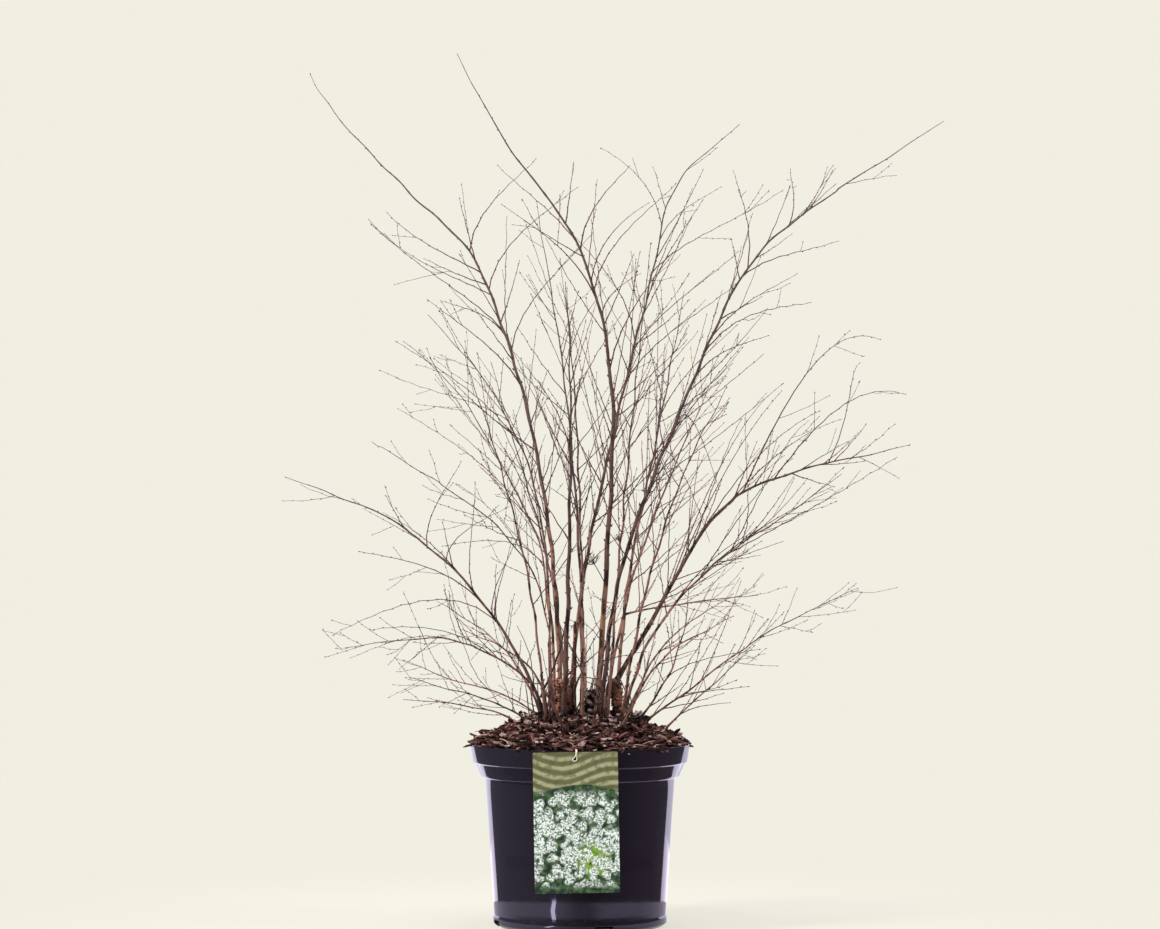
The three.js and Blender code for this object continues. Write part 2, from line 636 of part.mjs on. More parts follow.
// All the limbs of one spray: its stem, its leads, its side shoots and their twigs.
function growSpray(stem, plan, seed) {
  const roll = dice(seed);
  const limbs = [stem];
  const keep = (grown) => {
    if (grown) {
      placed.push(grown);
      limbs.push(grown);
    }
    return grown;
  };
  const parent = bearer(stem);
  const shoots = [];
  for (const [height, x, y, z, arch] of plan.leads ?? []) {
    const distance = distanceAtHeight(parent.path, height);
    shoots.push(keep(growLead(parent, distance, [x, y, z], arch, roll)));
  }
  const bearing = parent.path.length * (1 - (plan.whip ?? 0));
  const count = Math.round(bearing / SHOOT_SPACING);
  const start = roll() * 2 * Math.PI;
  for (let i = 0; i < count; i++) {
    const distance = (bearing * (i + between(SHOOT_PLACE, roll()))) / count;
    const length = plan.long * (1 - ((1 - TIP_SHARE) * distance) / parent.path.length);
    shoots.push(keep(growShoot(parent, distance, start + i * GOLDEN_TURN, length, roll)));
  }
  for (const shoot of shoots.filter(Boolean)) {
    growTwigs(bearer(shoot), roll, keep);
  }
  return limbs;
}

function growTwigs(parent, roll, keep) {
  const length = parent.path.length;
  const count = Math.floor(length / TWIG_SPACING);
  const start = roll() * 2 * Math.PI;
  for (let i = 0; i < count; i++) {
    const share = FIRST_TWIG + (TWIG_STRETCH * (i + between(TWIG_PLACE, roll()))) / count;
    const reach = Math.max(SHORTEST_TWIG, length * (1 - share) * TWIG_SHARE);
    keep(growShoot(parent, share * length, start + i * GOLDEN_TURN, reach, roll));
  }
}

// ---------------------------------------------------------------- the shrub

const shrub = new THREE.Group();

function addNode(name, geometry, material) {
  const mesh = new THREE.Mesh(geometry, material);
  mesh.name = name;
  shrub.add(mesh);
}

addNode('pot', makePot(), POT_PLASTIC);
addNode('mulch', makeMulch(), MULCH);
addNode('label_card', makeCard(), CARD);
addNode('label_tie', makeTie(), TIE);

function onMulch([x, y], radius) {
  const z = moundHeight(Math.max(0, Math.hypot(x, y) - radius)) + SEAT_GAP;
  return new THREE.Vector3(x, y, z);
}

// The centres and radii of a stretch of a path, in even steps.
function stretch(path, girth, from, to, step) {
  const steps = Math.max(2, Math.ceil((to - from) / step));
  const centres = [];
  const radii = [];
  for (let i = 0; i <= steps; i++) {
    const distance = from + ((to - from) * i) / steps;
    centres.push(pointAt(path, distance));
    radii.push(caneRadius(girth, distance, path.length));
  }
  return { centres, radii };
}

const stumpTops = {};
for (const { name, girth, foot, top } of STUMPS) {
  const base = onMulch(foot, girth * FOOT_SHARE);
  const peak = new THREE.Vector3(...top);
  const waist = new THREE.Vector3().lerpVectors(base, peak, STUMP_WAIST);
  const limb = { centres: [base, waist, peak] };
  limb.radii = STUMP_SHARES.map((share) => girth * share);
  placed.push(limb);
  stumpTops[name] = peak;
  addNode(name, limbSolid(limb.centres, limb.radii, STUMP_SIDES, UP), OLD_BARK);
}

function wholePath(first, plan) {
  const rest = [...plan.bends, plan.tip].map((station) => new THREE.Vector3(...station));
  return smoothPath([first, ...rest]);
}

// Each cane, and above it the stem of its spray, share one path.
const canePaths = {};
const sprays = [];
for (const plan of CANES) {
  const first = plan.on
    ? stumpTops[plan.on].clone().addScaledVector(UP, SEAT_GAP)
    : onMulch(plan.foot, plan.girth * FOOT_SHARE);
  const path = wholePath(first, plan);
  const split = distanceAtHeight(path, plan.clean);
  const cane = stretch(path, plan.girth, 0, split, CANE_STEP);
  placed.push(cane);
  canePaths[plan.name] = { path, girth: plan.girth };
  addNode(plan.name, limbSolid(cane.centres, cane.radii, CANE_SIDES, UP), BARK);
  const stem = stretch(path, plan.girth, split + SEAT_GAP, path.length, STEM_STEP);
  sprays.push({ name: `${plan.name}_spray`, plan, stem });
}

// A basal spray stands on the mulch, or square on the side of a cane.
for (const plan of BASAL) {
  let first;
  let foot = UP;
  if (plan.on) {
    const { path, girth } = canePaths[plan.on];
    const distance = distanceAtHeight(path, plan.at);
    const middle = pointAt(path, distance);
    const along = directionAt(path, distance);
    foot = new THREE.Vector3(...plan.bends[0]).sub(middle);
    foot.addScaledVector(along, -along.dot(foot)).normalize();
    first = middle.addScaledVector(foot, caneRadius(girth, distance, path.length) + SEAT_GAP);
  } else {
    first = onMulch(plan.foot, plan.girth * FOOT_SHARE);
  }
  const path = wholePath(first, plan);
  const stem = stretch(path, plan.girth, 0, path.length, STEM_STEP);
  sprays.push({ name: plan.name, plan, stem, foot });
}

// Every stem stands before the first twig grows.
placed.push(...sprays.map((spray) => spray.stem));
sprays.forEach(({ name, plan, stem, foot }, i) => {
  const limbs = growSpray(stem, plan, FIRST_SEED + i);
  const twigs = limbs.slice(1).map((twig) => limbSolid(twig.centres, twig.radii, TWIG_SIDES));
  addNode(name, fused([limbSolid(stem.centres, stem.radii, STEM_SIDES, foot), ...twigs]), TWIG);
});

export default shrub;
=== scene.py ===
"""The looks of a bare winter spirea shrub in a nursery pot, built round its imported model.

Metres, +Z up. The origin is the middle of the pot's flat underside, and -Y is the front.
The plant's own numbers are in millimetres, as in the model, and its meshes are scaled by MM.
"""

import json
import math
from itertools import product

import bpy
import numpy as np
from mathutils import Euler, Matrix, Vector
from numpy.linalg import norm

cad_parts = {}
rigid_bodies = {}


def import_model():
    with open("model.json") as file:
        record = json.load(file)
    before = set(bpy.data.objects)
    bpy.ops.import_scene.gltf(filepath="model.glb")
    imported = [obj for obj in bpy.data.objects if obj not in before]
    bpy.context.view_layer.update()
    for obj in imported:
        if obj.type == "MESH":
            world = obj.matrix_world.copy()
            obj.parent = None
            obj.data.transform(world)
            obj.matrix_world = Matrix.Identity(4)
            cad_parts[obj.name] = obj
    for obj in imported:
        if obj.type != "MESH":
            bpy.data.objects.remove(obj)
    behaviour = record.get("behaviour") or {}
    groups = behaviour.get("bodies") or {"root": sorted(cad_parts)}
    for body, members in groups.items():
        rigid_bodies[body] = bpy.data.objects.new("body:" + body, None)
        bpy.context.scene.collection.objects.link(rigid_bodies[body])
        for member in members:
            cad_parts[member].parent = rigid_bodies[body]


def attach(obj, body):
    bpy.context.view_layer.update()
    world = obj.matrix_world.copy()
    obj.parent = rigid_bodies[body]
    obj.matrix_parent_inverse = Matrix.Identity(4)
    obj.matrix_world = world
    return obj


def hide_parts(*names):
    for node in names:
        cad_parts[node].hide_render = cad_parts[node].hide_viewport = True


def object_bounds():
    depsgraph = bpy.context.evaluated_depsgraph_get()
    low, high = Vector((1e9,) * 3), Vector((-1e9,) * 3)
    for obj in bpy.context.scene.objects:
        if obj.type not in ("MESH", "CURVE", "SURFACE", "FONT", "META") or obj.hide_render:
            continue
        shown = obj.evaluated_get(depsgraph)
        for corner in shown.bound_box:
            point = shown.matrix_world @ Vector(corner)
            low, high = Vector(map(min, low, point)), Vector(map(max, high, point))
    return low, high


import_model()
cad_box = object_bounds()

MM = 0.001

# ------ sizes shared with the model

SEAT_GAP = 0.3  # between pieces that touch

POT_HEIGHT = 230
POT_WALL = 2.6
POT_FLOOR = 3
RIM_RADIUS = 140
RIDGE_RADIUS = 136
RIDGE_Z = 208
COLLAR_RADIUS = 126
COLLAR_Z = 189
BODY_TOP_RADIUS = 119.8
BODY_TOP_Z = 187
BODY_FOOT_RADIUS = 108.4
LIP_RADIUS = 109.8
LIP_HEIGHT = 12
UNDERSIDE_RADIUS = 105
RECESS_RADIUS = 102  # of the hollow under the pot, inside the ring that it stands on
RECESS_HEIGHT = 3.2

SLOT_COUNT = 4
SLOT_WIDTH = 23
SLOT_HEIGHT = 9
SLOT_DEPTH = 16
SLOT_TURN = -74  # degrees: the first slot, a little right of the front

MOUND = [(136.4, 232), (114, 249), (88, 262), (52, 267), (0, 269)]  # radius and height

CARD_WIDTH = 105
CARD_HEIGHT = 174
CARD_THICKNESS = 0.8
CARD_BOTTOM = 54.5
CARD_X = -4.5
CARD_TILT = -1  # degrees, its right end a little higher

# A limb's radius falls from its foot to its tip.
TIP_RADIUS = 0.6
TAPER = 0.8
FLARE = 0.3  # share added at the foot, and lost over this height
FLARE_HEIGHT = 22
FOOT_SHARE = 0.65  # a foot's radius, of its girth
STUMP_SHARES = [0.62, 0.5, 0.46]  # a stump's radius at its foot, waist and top
STUMP_WAIST = 0.4  # share of its height
CANE_STEP = 46  # length of one straight stretch of a cane, and of a spray's stem
STEM_STEP = 56

# The crown, but for its longest shoots, is an egg round its belt.
CROWN_RADIUS = 300
CROWN_BELT_Z = 600
CROWN_HALF_HEIGHT = 460
SHORT_SHOOT = 75  # one this short may stand outside the egg

# The growth rule: where shoots stand on a stem, how they lean out, and how long they are.
SHOOT_SPACING = 46
TWIG_SPACING = 90
SHOOT_PLACE = [0.3, 0.8]  # where in its spacing a shoot may stand
TWIG_PLACE = [0.25, 0.75]
GOLDEN_TURN = 2.39996  # radians from one shoot to the next, round the stem
LEAN = [0.58, 0.88]  # radians away from the parent, least and most
RISE = [-0.06, 0.2]  # share of its length that a shoot bends down or up by
LENGTH_SPREAD = [0.78, 1.18]
INWARD_SHARE = 0.32  # length of a shoot that points at the middle, of an outer one's
TIP_SHARE = 0.4  # length of the highest shoots, of the lowest ones'
TWIG_SHARE = 0.62  # length of a twig, of what is left of its shoot
SHORTEST_TWIG = 24
FIRST_TWIG = 0.28  # share of a shoot below its first twig, and with twigs
TWIG_STRETCH = 0.62
ROOT_SHARE = 0.6  # a shoot's radius at its root, of its parent's
THICKEST_SHOOT = 1.2
THICKEST_LEAD = 1.35
THINNING = 0.45  # share of its radius that a shoot loses before its pointed end
LEAD_STEPS = 5
LEAD_RUN = 1 / 6  # share of its length for which a lead follows its stem
LEAD_TURN = 2 / 3  # share after which it heads for its tip
LONG_SHOOT = 90  # from this length a shoot has three steps, below it two
CLEARANCE = 0.45  # least air between two limbs
TRIES = 9  # to find a shoot a free way, each a little shorter and further round
SHORTENING = 0.09
FIRST_SWING = 0.7  # radians that the first try may turn by, and each later one more
MORE_SWING = 0.5
FIRST_SEED = 4127
LEAD_SLIDE = 8  # a lead's tip slides this far to the front or back, more at each try
LOWEST_TIP = 270  # no tip hangs into the mulch

# foot: where a limb stands on the mulch, x and y. bends and tip: x, y, z.
# girth: its diameter at the foot. clean: the height up to which it bears no shoots.
# whip: the share of its stem, from the tip back, that bears none either.
# long: the length of its lowest side shoots.
# leads: its main side shoots, as the height where each leaves the stem, its tip, and how
# far its middle arches above the straight way there.
# on: what it rises from, if not from the mulch, and at: the height there.
# Three are for what is drawn here only. full: how many finer shoots it bears, of the usual
# number. slim: its drawn thickness, of the usual one. thin: its longest finer shoots, told
# as its leads are.
CANES = [
    dict(name="left_leader", girth=7.2, foot=[-23, 12], clean=470, whip=0.42, long=170, full=1.3,
         bends=[[-37, 25, 481], [-75, 50, 682], [-140, 88, 859], [-186, 104, 900],
                [-316, 150, 1034]],
         tip=[-353, 165, 1093],
         leads=[[859, -56, 30, 972, 8], [800, -277, 190, 904, -20], [830, -247, 60, 905, -12],
                [745, -180, 170, 797, 4], [682, -192, -10, 791, 4]],
         thin=[[800, -4, 60, 938, 10], [728, 15, 90, 880, 6], [735, -96, 130, 906, -10],
               [740, -266, 40, 890, -8]]),
    dict(name="left_inner", girth=5.2, foot=[-31, 36], clean=440, whip=0.1, long=150, full=0.65,
         slim=0.9,
         bends=[[-37, 58, 389], [-59, 95, 560], [-121, 126, 690]], tip=[-198, 150, 777],
         leads=[[606, -236, 70, 741, 8], [640, -260, 150, 706, -6]]),
    dict(name="centre_leader", girth=9.0, foot=[21, -18], clean=500, whip=0.36, long=160, full=2.0,
         bends=[[33, -33, 449], [40, -62, 686], [-2, -88, 858], [-87, -120, 973]],
         tip=[-151, -150, 1087],
         leads=[[700, 120, -150, 850, 10], [790, -95, -190, 900, 8], [850, 62, -80, 955, 10]],
         thin=[[850, -103, -60, 957, 0], [770, 75, -60, 822, 6], [800, 120, -40, 935, 8],
               [812, 84, -120, 906, 14]]),
    dict(name="right_leader", girth=7.0, foot=[26, 12], clean=500, whip=0.2, long=150, full=1.8,
         bends=[[52, 16, 451], [132, 10, 662], [207, -8, 827], [283, -30, 900]], tip=[452, -90, 1009],
         leads=[[832, 197, 60, 959, 12], [896, 313, -130, 953, 2], [885, 269, 50, 960, 8],
                [820, 331, 70, 870, 0], [737, 270, -90, 820, 6], [722, 298, 110, 792, 12],
                [692, 235, -60, 744, 6]],
         thin=[[635, 174, -60, 552, 24], [590, 215, 60, 745, 4]]),
    dict(name="forked_cane", girth=5.4, foot=[-21, -42], clean=450, whip=0.05, long=120, full=0.5,
         slim=1.6,
         bends=[[-15, -66, 426], [-12, -106, 653]], tip=[-16, -135, 800],
         leads=[[715, 30, -160, 800, 6], [600, -80, -190, 720, 8]],
         thin=[[740, -64, -110, 841, -4], [640, 52, -120, 770, 6]]),
    dict(name="centre_cane", girth=6.2, foot=[-15, 47], clean=480, whip=0.12, long=150, full=1.8,
         bends=[[6, 42, 453], [52, 40, 663], [97, 54, 845], [119, 72, 942]], tip=[205, 100, 1021],
         leads=[[890, 28, 110, 992, 14], [828, 255, -20, 929, -4], [870, 183, 140, 944, 4],
                [792, 156, 20, 919, 4], [740, -10, 90, 880, 12]],
         thin=[[735, 199, -20, 851, 0], [690, 197, 0, 811, 2], [780, 130, 80, 905, 4],
               [600, 150, 60, 752, 4]]),
    dict(name="right_cane", girth=5.2, foot=[46, 28], clean=440, whip=0.08, long=150, full=2, slim=1.1,
         bends=[[62, 69, 435], [97, 126, 602]], tip=[138, 200, 810],
         leads=[[560, 190, 190, 700, 14]],
         thin=[[590, 168, 150, 484, 30], [520, 176, 120, 668, 10], [640, 205, 170, 765, 6]]),
    dict(name="right_low_cane", girth=7.4, on="right_old_wood", clean=400, whip=0.1, long=150, full=2.2,
         bends=[[110, -22, 421], [157, -32, 506], [206, -39, 551], [275, -46, 576]],
         tip=[412, -62, 607],
         leads=[[548, 372, -110, 738, 66], [566, 413, 10, 672, 40], [585, 345, -130, 708, 26]],
         thin=[[440, 258, 60, 677, 22], [420, 234, -20, 665, 26], [500, 300, -60, 650, 20],
               [470, 205, 30, 640, 12], [540, 330, 20, 640, 16]]),
    dict(name="right_side_cane", girth=5.0, foot=[57, 14], clean=380, whip=0.1, long=140, full=2.2,
         bends=[[79, 36, 344], [117, 58, 399], [177, 86, 460], [254, 114, 508]],
         tip=[340, 150, 570],
         leads=[[470, 300, 190, 640, 26]],
         thin=[[478, 214, 100, 640, -10], [470, 405, 60, 592, -4], [430, 270, 40, 590, 14],
               [400, 245, 90, 505, 16], [455, 320, 130, 548, 8]]),
    dict(name="left_low_cane", girth=6.0, foot=[-47, -6], clean=365, whip=0.15, long=120, full=0.6,
         slim=0.85,
         bends=[[-61, -2, 309], [-128, 15, 415], [-235, 37, 510]], tip=[-377, 60, 566],
         leads=[[405, -277, -30, 473, 10], [400, -305, 60, 376, 26], [440, -255, 130, 520, 8]],
         thin=[[480, -152, 40, 586, 6], [420, -132, -30, 560, -6], [445, -92, 60, 528, 8],
               [378, -309, -60, 370, 25], [392, -74, 20, 505, 0], [384, -86, -20, 490, -4]]),
    dict(name="left_middle_cane", girth=4.6, foot=[-37, 62], clean=400, whip=0.08, long=130,
         full=0.35, slim=0.72,
         bends=[[-46, 96, 460], [-90, 140, 560], [-160, 180, 680]], tip=[-232, 215, 745],
         leads=[[500, -235, 120, 655, 12], [520, -190, 200, 700, 10]],
         thin=[[450, -176, 60, 478, 14]]),
    dict(name="left_front_cane", girth=4.0, foot=[-33, -34], clean=380, whip=0.08, long=120,
         full=0.3, slim=0.72,
         bends=[[-47, -77, 423], [-114, -116, 518]], tip=[-254, -172, 610],
         leads=[[455, -150, -230, 560, 12]]),
    dict(name="front_cane", girth=4.6, foot=[3, -54], clean=430, whip=0.06, long=140,
         bends=[[2, -90, 430], [-5, -180, 640]], tip=[-18, -290, 800]),
    dict(name="front_upright", girth=4.4, foot=[35, -37], clean=440, whip=0.06, long=140,
         bends=[[45, -70, 420], [62, -140, 620]], tip=[85, -240, 850]),
    dict(name="front_left_cane", girth=4.8, foot=[-43, -55], clean=390, whip=0.06, long=140,
         full=0.5, slim=0.8,
         bends=[[-62, -110, 430], [-100, -205, 590]], tip=[-135, -310, 700]),
    dict(name="front_right_cane", girth=4.8, foot=[52, -46], clean=390, whip=0.06, long=140, full=1.8,
         bends=[[80, -110, 420], [125, -205, 570]], tip=[175, -310, 675]),
    dict(name="back_upright", girth=5.0, foot=[2, 26], clean=450, whip=0.1, long=150, full=1.1,
         bends=[[0, 75, 450], [-20, 150, 690]], tip=[-58, 250, 930]),
    dict(name="back_left_cane", girth=5.0, foot=[-12, 72], clean=400, whip=0.06, long=150,
         full=0.5, slim=0.8,
         bends=[[-38, 150, 440], [-80, 235, 590]], tip=[-120, 345, 720]),
    dict(name="back_right_cane", girth=5.0, foot=[30, 60], clean=400, whip=0.06, long=150, full=1.8,
         bends=[[66, 135, 430], [120, 230, 570]], tip=[175, 340, 690]),
]

# Low sprays with no bare cane below them.
BASAL = [
    dict(name="left_fork_spray", girth=3.8, on="left_low_cane", at=306, long=80, full=1.8, slim=0.8,
         bends=[[-105, -50, 343], [-170, -88, 368]], tip=[-288, -150, 358],
         thin=[[345, -261, -60, 376, 14], [366, -283, -130, 344, 8], [362, -170, -80, 432, 0]]),
    dict(name="left_back_spray", girth=3.4, foot=[-56, 40], long=75, full=1.8, slim=0.8,
         bends=[[-100, 72, 290], [-174, 125, 305]], tip=[-232, 178, 328],
         thin=[[303, -230, 150, 416, -4], [294, -178, 90, 470, -6]]),
    dict(name="left_front_spray", girth=3.2, foot=[-68, -48], long=70, full=1.8, slim=0.8,
         bends=[[-100, -80, 285], [-160, -140, 306]], tip=[-206, -190, 322]),
    dict(name="left_trailing_spray", girth=2.8, foot=[-90, 8], long=50, full=1.8, slim=0.8,
         bends=[[-130, 14, 276]], tip=[-224, 30, 284]),
    dict(name="right_front_spray", girth=3.4, foot=[76, -32], long=70, full=1.6,
         bends=[[112, -74, 320], [130, -106, 380]], tip=[134, -150, 430],
         thin=[[316, 222, -110, 354, 3]]),
    dict(name="right_low_spray", girth=3.6, foot=[88, -12], long=90, full=1.8, slim=0.85,
         bends=[[151, -31, 309], [234, -53, 372]], tip=[346, -82, 428],
         thin=[[288, 211, -40, 304, 0]]),
    dict(name="right_trailing_spray", girth=3.2, foot=[112, 25], long=60, full=1.6, slim=0.85,
         bends=[[145, 47, 280]], tip=[226, 112, 348], thin=[[264, 191, 40, 279, 2]]),
    dict(name="right_side_spray", girth=2.8, on="right_cane", at=392, long=70, full=3,
         bends=[[104, 78, 400]], tip=[230, 122, 414]),
    dict(name="low_back_spray", girth=4.0, foot=[8, 92], long=100,
         bends=[[4, 180, 360]], tip=[-12, 350, 440]),
    dict(name="low_back_left_spray", girth=3.8, foot=[-46, 84], long=90,
         bends=[[-100, 165, 345]], tip=[-190, 285, 400]),
    dict(name="low_back_right_spray", girth=3.8, foot=[58, 80], long=90,
         bends=[[110, 160, 350]], tip=[205, 280, 410]),
    dict(name="low_front_spray", girth=4.0, foot=[18, -84], long=100,
         bends=[[28, -180, 350]], tip=[46, -345, 430]),
    dict(name="low_front_left_spray", girth=3.8, foot=[-24, -82], long=90,
         bends=[[-66, -165, 340]], tip=[-140, -285, 385]),
    dict(name="low_front_right_spray", girth=3.8, foot=[56, -72], long=90,
         bends=[[100, -150, 345]], tip=[185, -262, 400]),
]

STUMPS = [
    dict(name="left_old_wood", girth=17, foot=[-24, -17], top=[-23, -18, 312]),
    dict(name="right_old_wood", girth=11.5, foot=[48, -8], top=[46, -8, 309]),
    dict(name="pruned_stub", girth=5.2, foot=[-8, 2], top=[-6, 0, 385]),
]

# ------ finer growth and bark

# Finer shoots stand between the model's own, and finer twigs on every shoot.
FINE_SEED = 905
FINE_SHOOT_SPACING = 43
FINE_SHOOT_SPREAD = [1.0, 2.1]  # length, of what the rule gives at that place
FINE_LEAN = [0.3, 0.7]  # they lie closer to their stem, and bend up more
FINE_RISE = [-0.04, 0.24]
FINE_TWIG_SPACING = 190
FINE_TWIG_PLACE = [0.35, 0.85]
FINE_TWIG_LENGTH = [24, 96]
FINE_CEILING = 968  # above it only the model's own shoots rise
FINE_TRIES = 5
THICKEST_THIN_LEAD = 1.05
THIN_LEAD_LIFTS = [0, 7, -7, 14, -14, 22, -22, 30]  # of the root, when there is no room
THIN_LEAD_SHIFTS = [0, 30, -30, 60, -60]  # of the tip
THICKEST_FINE_SHOOT = 0.9
THICKEST_FINE_TWIG = 0.62
THINNEST = 0.33  # radius of the finest tip
DRAWN_THINNING = 0.7  # share of its radius that a drawn shoot loses on its way
NODE_SPACING = 13  # from one bud to the next
KINK = 0.45  # how far a twig steps aside at each bud
BOX_MARGIN = 2  # no fine tip comes this near to the model's own box

STEM_RING = 5  # length between two rings of a drawn stem
STEM_KINK = 0.6
STEM_KINK_SPACING = 27
STEM_SWELLING = [0.3, 0.07]  # of its radius, at each old bud, where thin and where thick
WHIP_THINNING = 0.42  # share of its radius that a stem's tip has less than the model's
SUNK_FOOT = 18  # how deep a foot is hidden in the mulch
SUNK_IN_CANE = 2

# ------ measured lines

SAMPLES_PER_SPAN = 16
DIRECTION_REACH = 4  # a limb's direction is taken over this far either way
NEAR_ALONG_X = 0.8  # a way with more of X than this takes Y for its side
TINY = 1e-9
UP = np.array([0.0, 0.0, 1.0])


def unit(way):
    """The same way, with length 1."""
    length = norm(way)
    return way / length if length else way


def unit_rows(ways):
    """Many ways, each with length 1."""
    return ways / norm(ways, axis=-1, keepdims=True)


def between(limits, share):
    """The value at a share of the way from the least to the most."""
    least, most = limits
    return least + (most - least) * share


class Path:
    """A line of points, and how far along it each one lies."""

    def __init__(self, points):
        self.points = np.asarray(points, float)
        steps = norm(np.diff(self.points, axis=0), axis=1)
        self.reached = np.concatenate([[0.0], np.cumsum(steps)])
        self.length = self.reached[-1]

    def at(self, distance):
        """The point, or points, this far along."""
        return np.stack([np.interp(distance, self.reached, self.points[:, k]) for k in range(3)], -1)

    def direction(self, distance):
        half = min(DIRECTION_REACH, self.length / 4)
        before = self.at(max(0.0, distance - half))
        return unit(self.at(min(self.length, distance + half)) - before)

    def at_height(self, z):
        """How far along the line first comes to this height."""
        heights = self.points[:, 2]
        i = 1
        while i < len(heights) - 1 and heights[i] < z:
            i += 1
        share = np.clip((z - heights[i - 1]) / (heights[i] - heights[i - 1]), 0, 1)
        return self.reached[i - 1] + share * (self.reached[i] - self.reached[i - 1])


def smooth_path(stations):
    """The Catmull-Rom curve through the stations."""
    stations = np.array(stations, float)
    first = 2 * stations[0] - stations[1]
    last = 2 * stations[-1] - stations[-2]
    guide = np.vstack([first, stations, last])
    share = (np.arange(SAMPLES_PER_SPAN) / SAMPLES_PER_SPAN)[:, None]
    points = []
    for before, start, end, after in zip(guide, guide[1:], guide[2:], guide[3:]):
        leave = (end - before) / 2
        arrive = (after - start) / 2
        square = -3 * start + 3 * end - 2 * leave - arrive
        cube = 2 * start - 2 * end + leave + arrive
        points.append(start + leave * share + square * share**2 + cube * share**3)
    return Path(np.vstack([*points, stations[-1:]]))


def bezier(handles, count):
    """Evenly spread points on a cubic curve."""
    t = np.linspace(0, 1, count)[:, None]
    a, b, c, d = handles
    return a * (1 - t) ** 3 + 3 * b * (1 - t) ** 2 * t + 3 * c * (1 - t) * t**2 + d * t**3


def cane_radius(girth, distance, length):
    """A cane's radius this far along it: a slow taper, and a flare at the foot."""
    left = np.maximum(0, 1 - distance / length)
    taper = TIP_RADIUS + (girth / 2 - TIP_RADIUS) * left**TAPER
    return taper * (1 + FLARE * np.maximum(0, 1 - distance / FLARE_HEIGHT))


class Limb:
    """A tapering limb. Other limbs keep clear of its centres and radii, as in the model.

    A shoot also has its curve's handles and its parent. line, line_radii: as it is drawn.
    """

    made = 0

    def __init__(self, centres, radii, handles=None, parent=None):
        Limb.made += 1
        self.number = Limb.made
        self.centres = np.array(centres)
        self.radii = np.array(radii)
        self.handles = handles
        self.parent = parent
        self.path = Path(self.centres)
        self.line = None
        self.line_radii = None

    def radius_at(self, distance):
        place = distance / self.path.length * (len(self.radii) - 1)
        return np.interp(place, np.arange(len(self.radii)), self.radii)


# ------ keeping limbs apart

MOST_STRETCHES = 30000  # that there is room for


class Space:
    """The straight stretches of every limb so far, each in its box."""

    def __init__(self):
        self.count = 0
        self.stretches = np.empty((MOST_STRETCHES, 2, 3))
        self.radii = np.empty(MOST_STRETCHES)
        self.boxes = np.empty((MOST_STRETCHES, 2, 3))
        self.owners = np.empty(MOST_STRETCHES, int)

    def add(self, limb):
        """Enter a limb, which the later ones keep clear of."""
        fresh = len(limb.centres) - 1
        slots = slice(self.count, self.count + fresh)
        ends = np.stack([limb.centres[:-1], limb.centres[1:]], 1)
        radii = np.maximum(limb.radii[:-1], limb.radii[1:])
        self.stretches[slots] = ends
        self.radii[slots] = radii
        self.boxes[slots, 0] = ends.min(1) - (radii + CLEARANCE)[:, None]
        self.boxes[slots, 1] = ends.max(1) + (radii + CLEARANCE)[:, None]
        self.owners[slots] = limb.number
        self.count += fresh

    def is_clear(self, centres, radii, parent):
        """Whether a limb along these centres would touch none but its parent."""
        centres = np.asarray(centres)
        thick = max(radii)
        low = centres.min(0) - thick
        high = centres.max(0) + thick
        boxes = self.boxes[: self.count]
        near = np.all((boxes[:, 0] <= high) & (boxes[:, 1] >= low), axis=1)
        near &= self.owners[: self.count] != parent.number
        near = np.flatnonzero(near)
        if not len(near):
            return True
        others = self.stretches[near]
        for i in range(1, len(centres)):
            reach = max(radii[i - 1], radii[i]) + self.radii[near]
            air = stretch_distances(centres[i - 1], centres[i], others[:, 0], others[:, 1])
            if np.any(air < reach + CLEARANCE):
                return False
        return True


def stretch_distances(a, b, c, d):
    """The least distances from one straight stretch, a to b, to many, c to d."""
    u = b - a
    v = d - c
    w = a - c
    uu = u @ u
    uv = v @ u
    vv = np.einsum("ij,ij->i", v, v)
    uw = w @ u
    vw = np.einsum("ij,ij->i", v, w)
    slack = uu * vv - uv * uv
    s = np.where(slack > TINY, (uv * vw - vv * uw) / np.where(slack > TINY, slack, 1), 0)
    t = np.clip((uv * np.clip(s, 0, 1) + vw) / vv, 0, 1)
    s = np.clip((uv * t - uw) / uu, 0, 1)
    return norm(w + s[:, None] * u - t[:, None] * v, axis=1)


# ------ the growth rule


def dice(seed):
    """Even random numbers from 0 to 1, the model's own."""
    state = seed * 2654435761 % 2**32

    def roll():
        nonlocal state
        state = (state * 1664525 + 1013904223) % 2**32
        return state / 2**32

    return roll


def inside_crown(point):
    """Whether a point lies in the egg that bounds the crown."""
    height = (point[2] - CROWN_BELT_Z) / CROWN_HALF_HEIGHT
    if abs(height) >= 1:
        return False
    return math.hypot(point[0], point[1]) < CROWN_RADIUS * math.sqrt(1 - height * height)


def inside_box(point):
    """Whether a fine tip stays within the model's own reach."""
    return np.all(point > BOX_LOW) and np.all(point < BOX_HIGH)


def heading(forward, lean, turn):
    """The way at an angle from a limb's direction, turned round it."""
    side = np.array([0.0, 1.0, 0.0] if abs(forward[0]) > NEAR_ALONG_X else [1.0, 0.0, 0.0])
    across = unit(np.cross(forward, side))
    over = np.cross(forward, across)
    out = across * math.cos(turn) + over * math.sin(turn)
    return forward * math.cos(lean) + out * math.sin(lean)


def shoot_radii(root, steps):
    return [root * (1 - THINNING * i / steps) for i in range(steps)] + [0.0]


def shoot_root(parent, distance, thickest):
    """Where a shoot starts, the way that its parent goes there, and its first radius."""
    root = min(thickest, ROOT_SHARE * parent.radius_at(distance))
    return parent.path.at(distance), parent.path.direction(distance), root


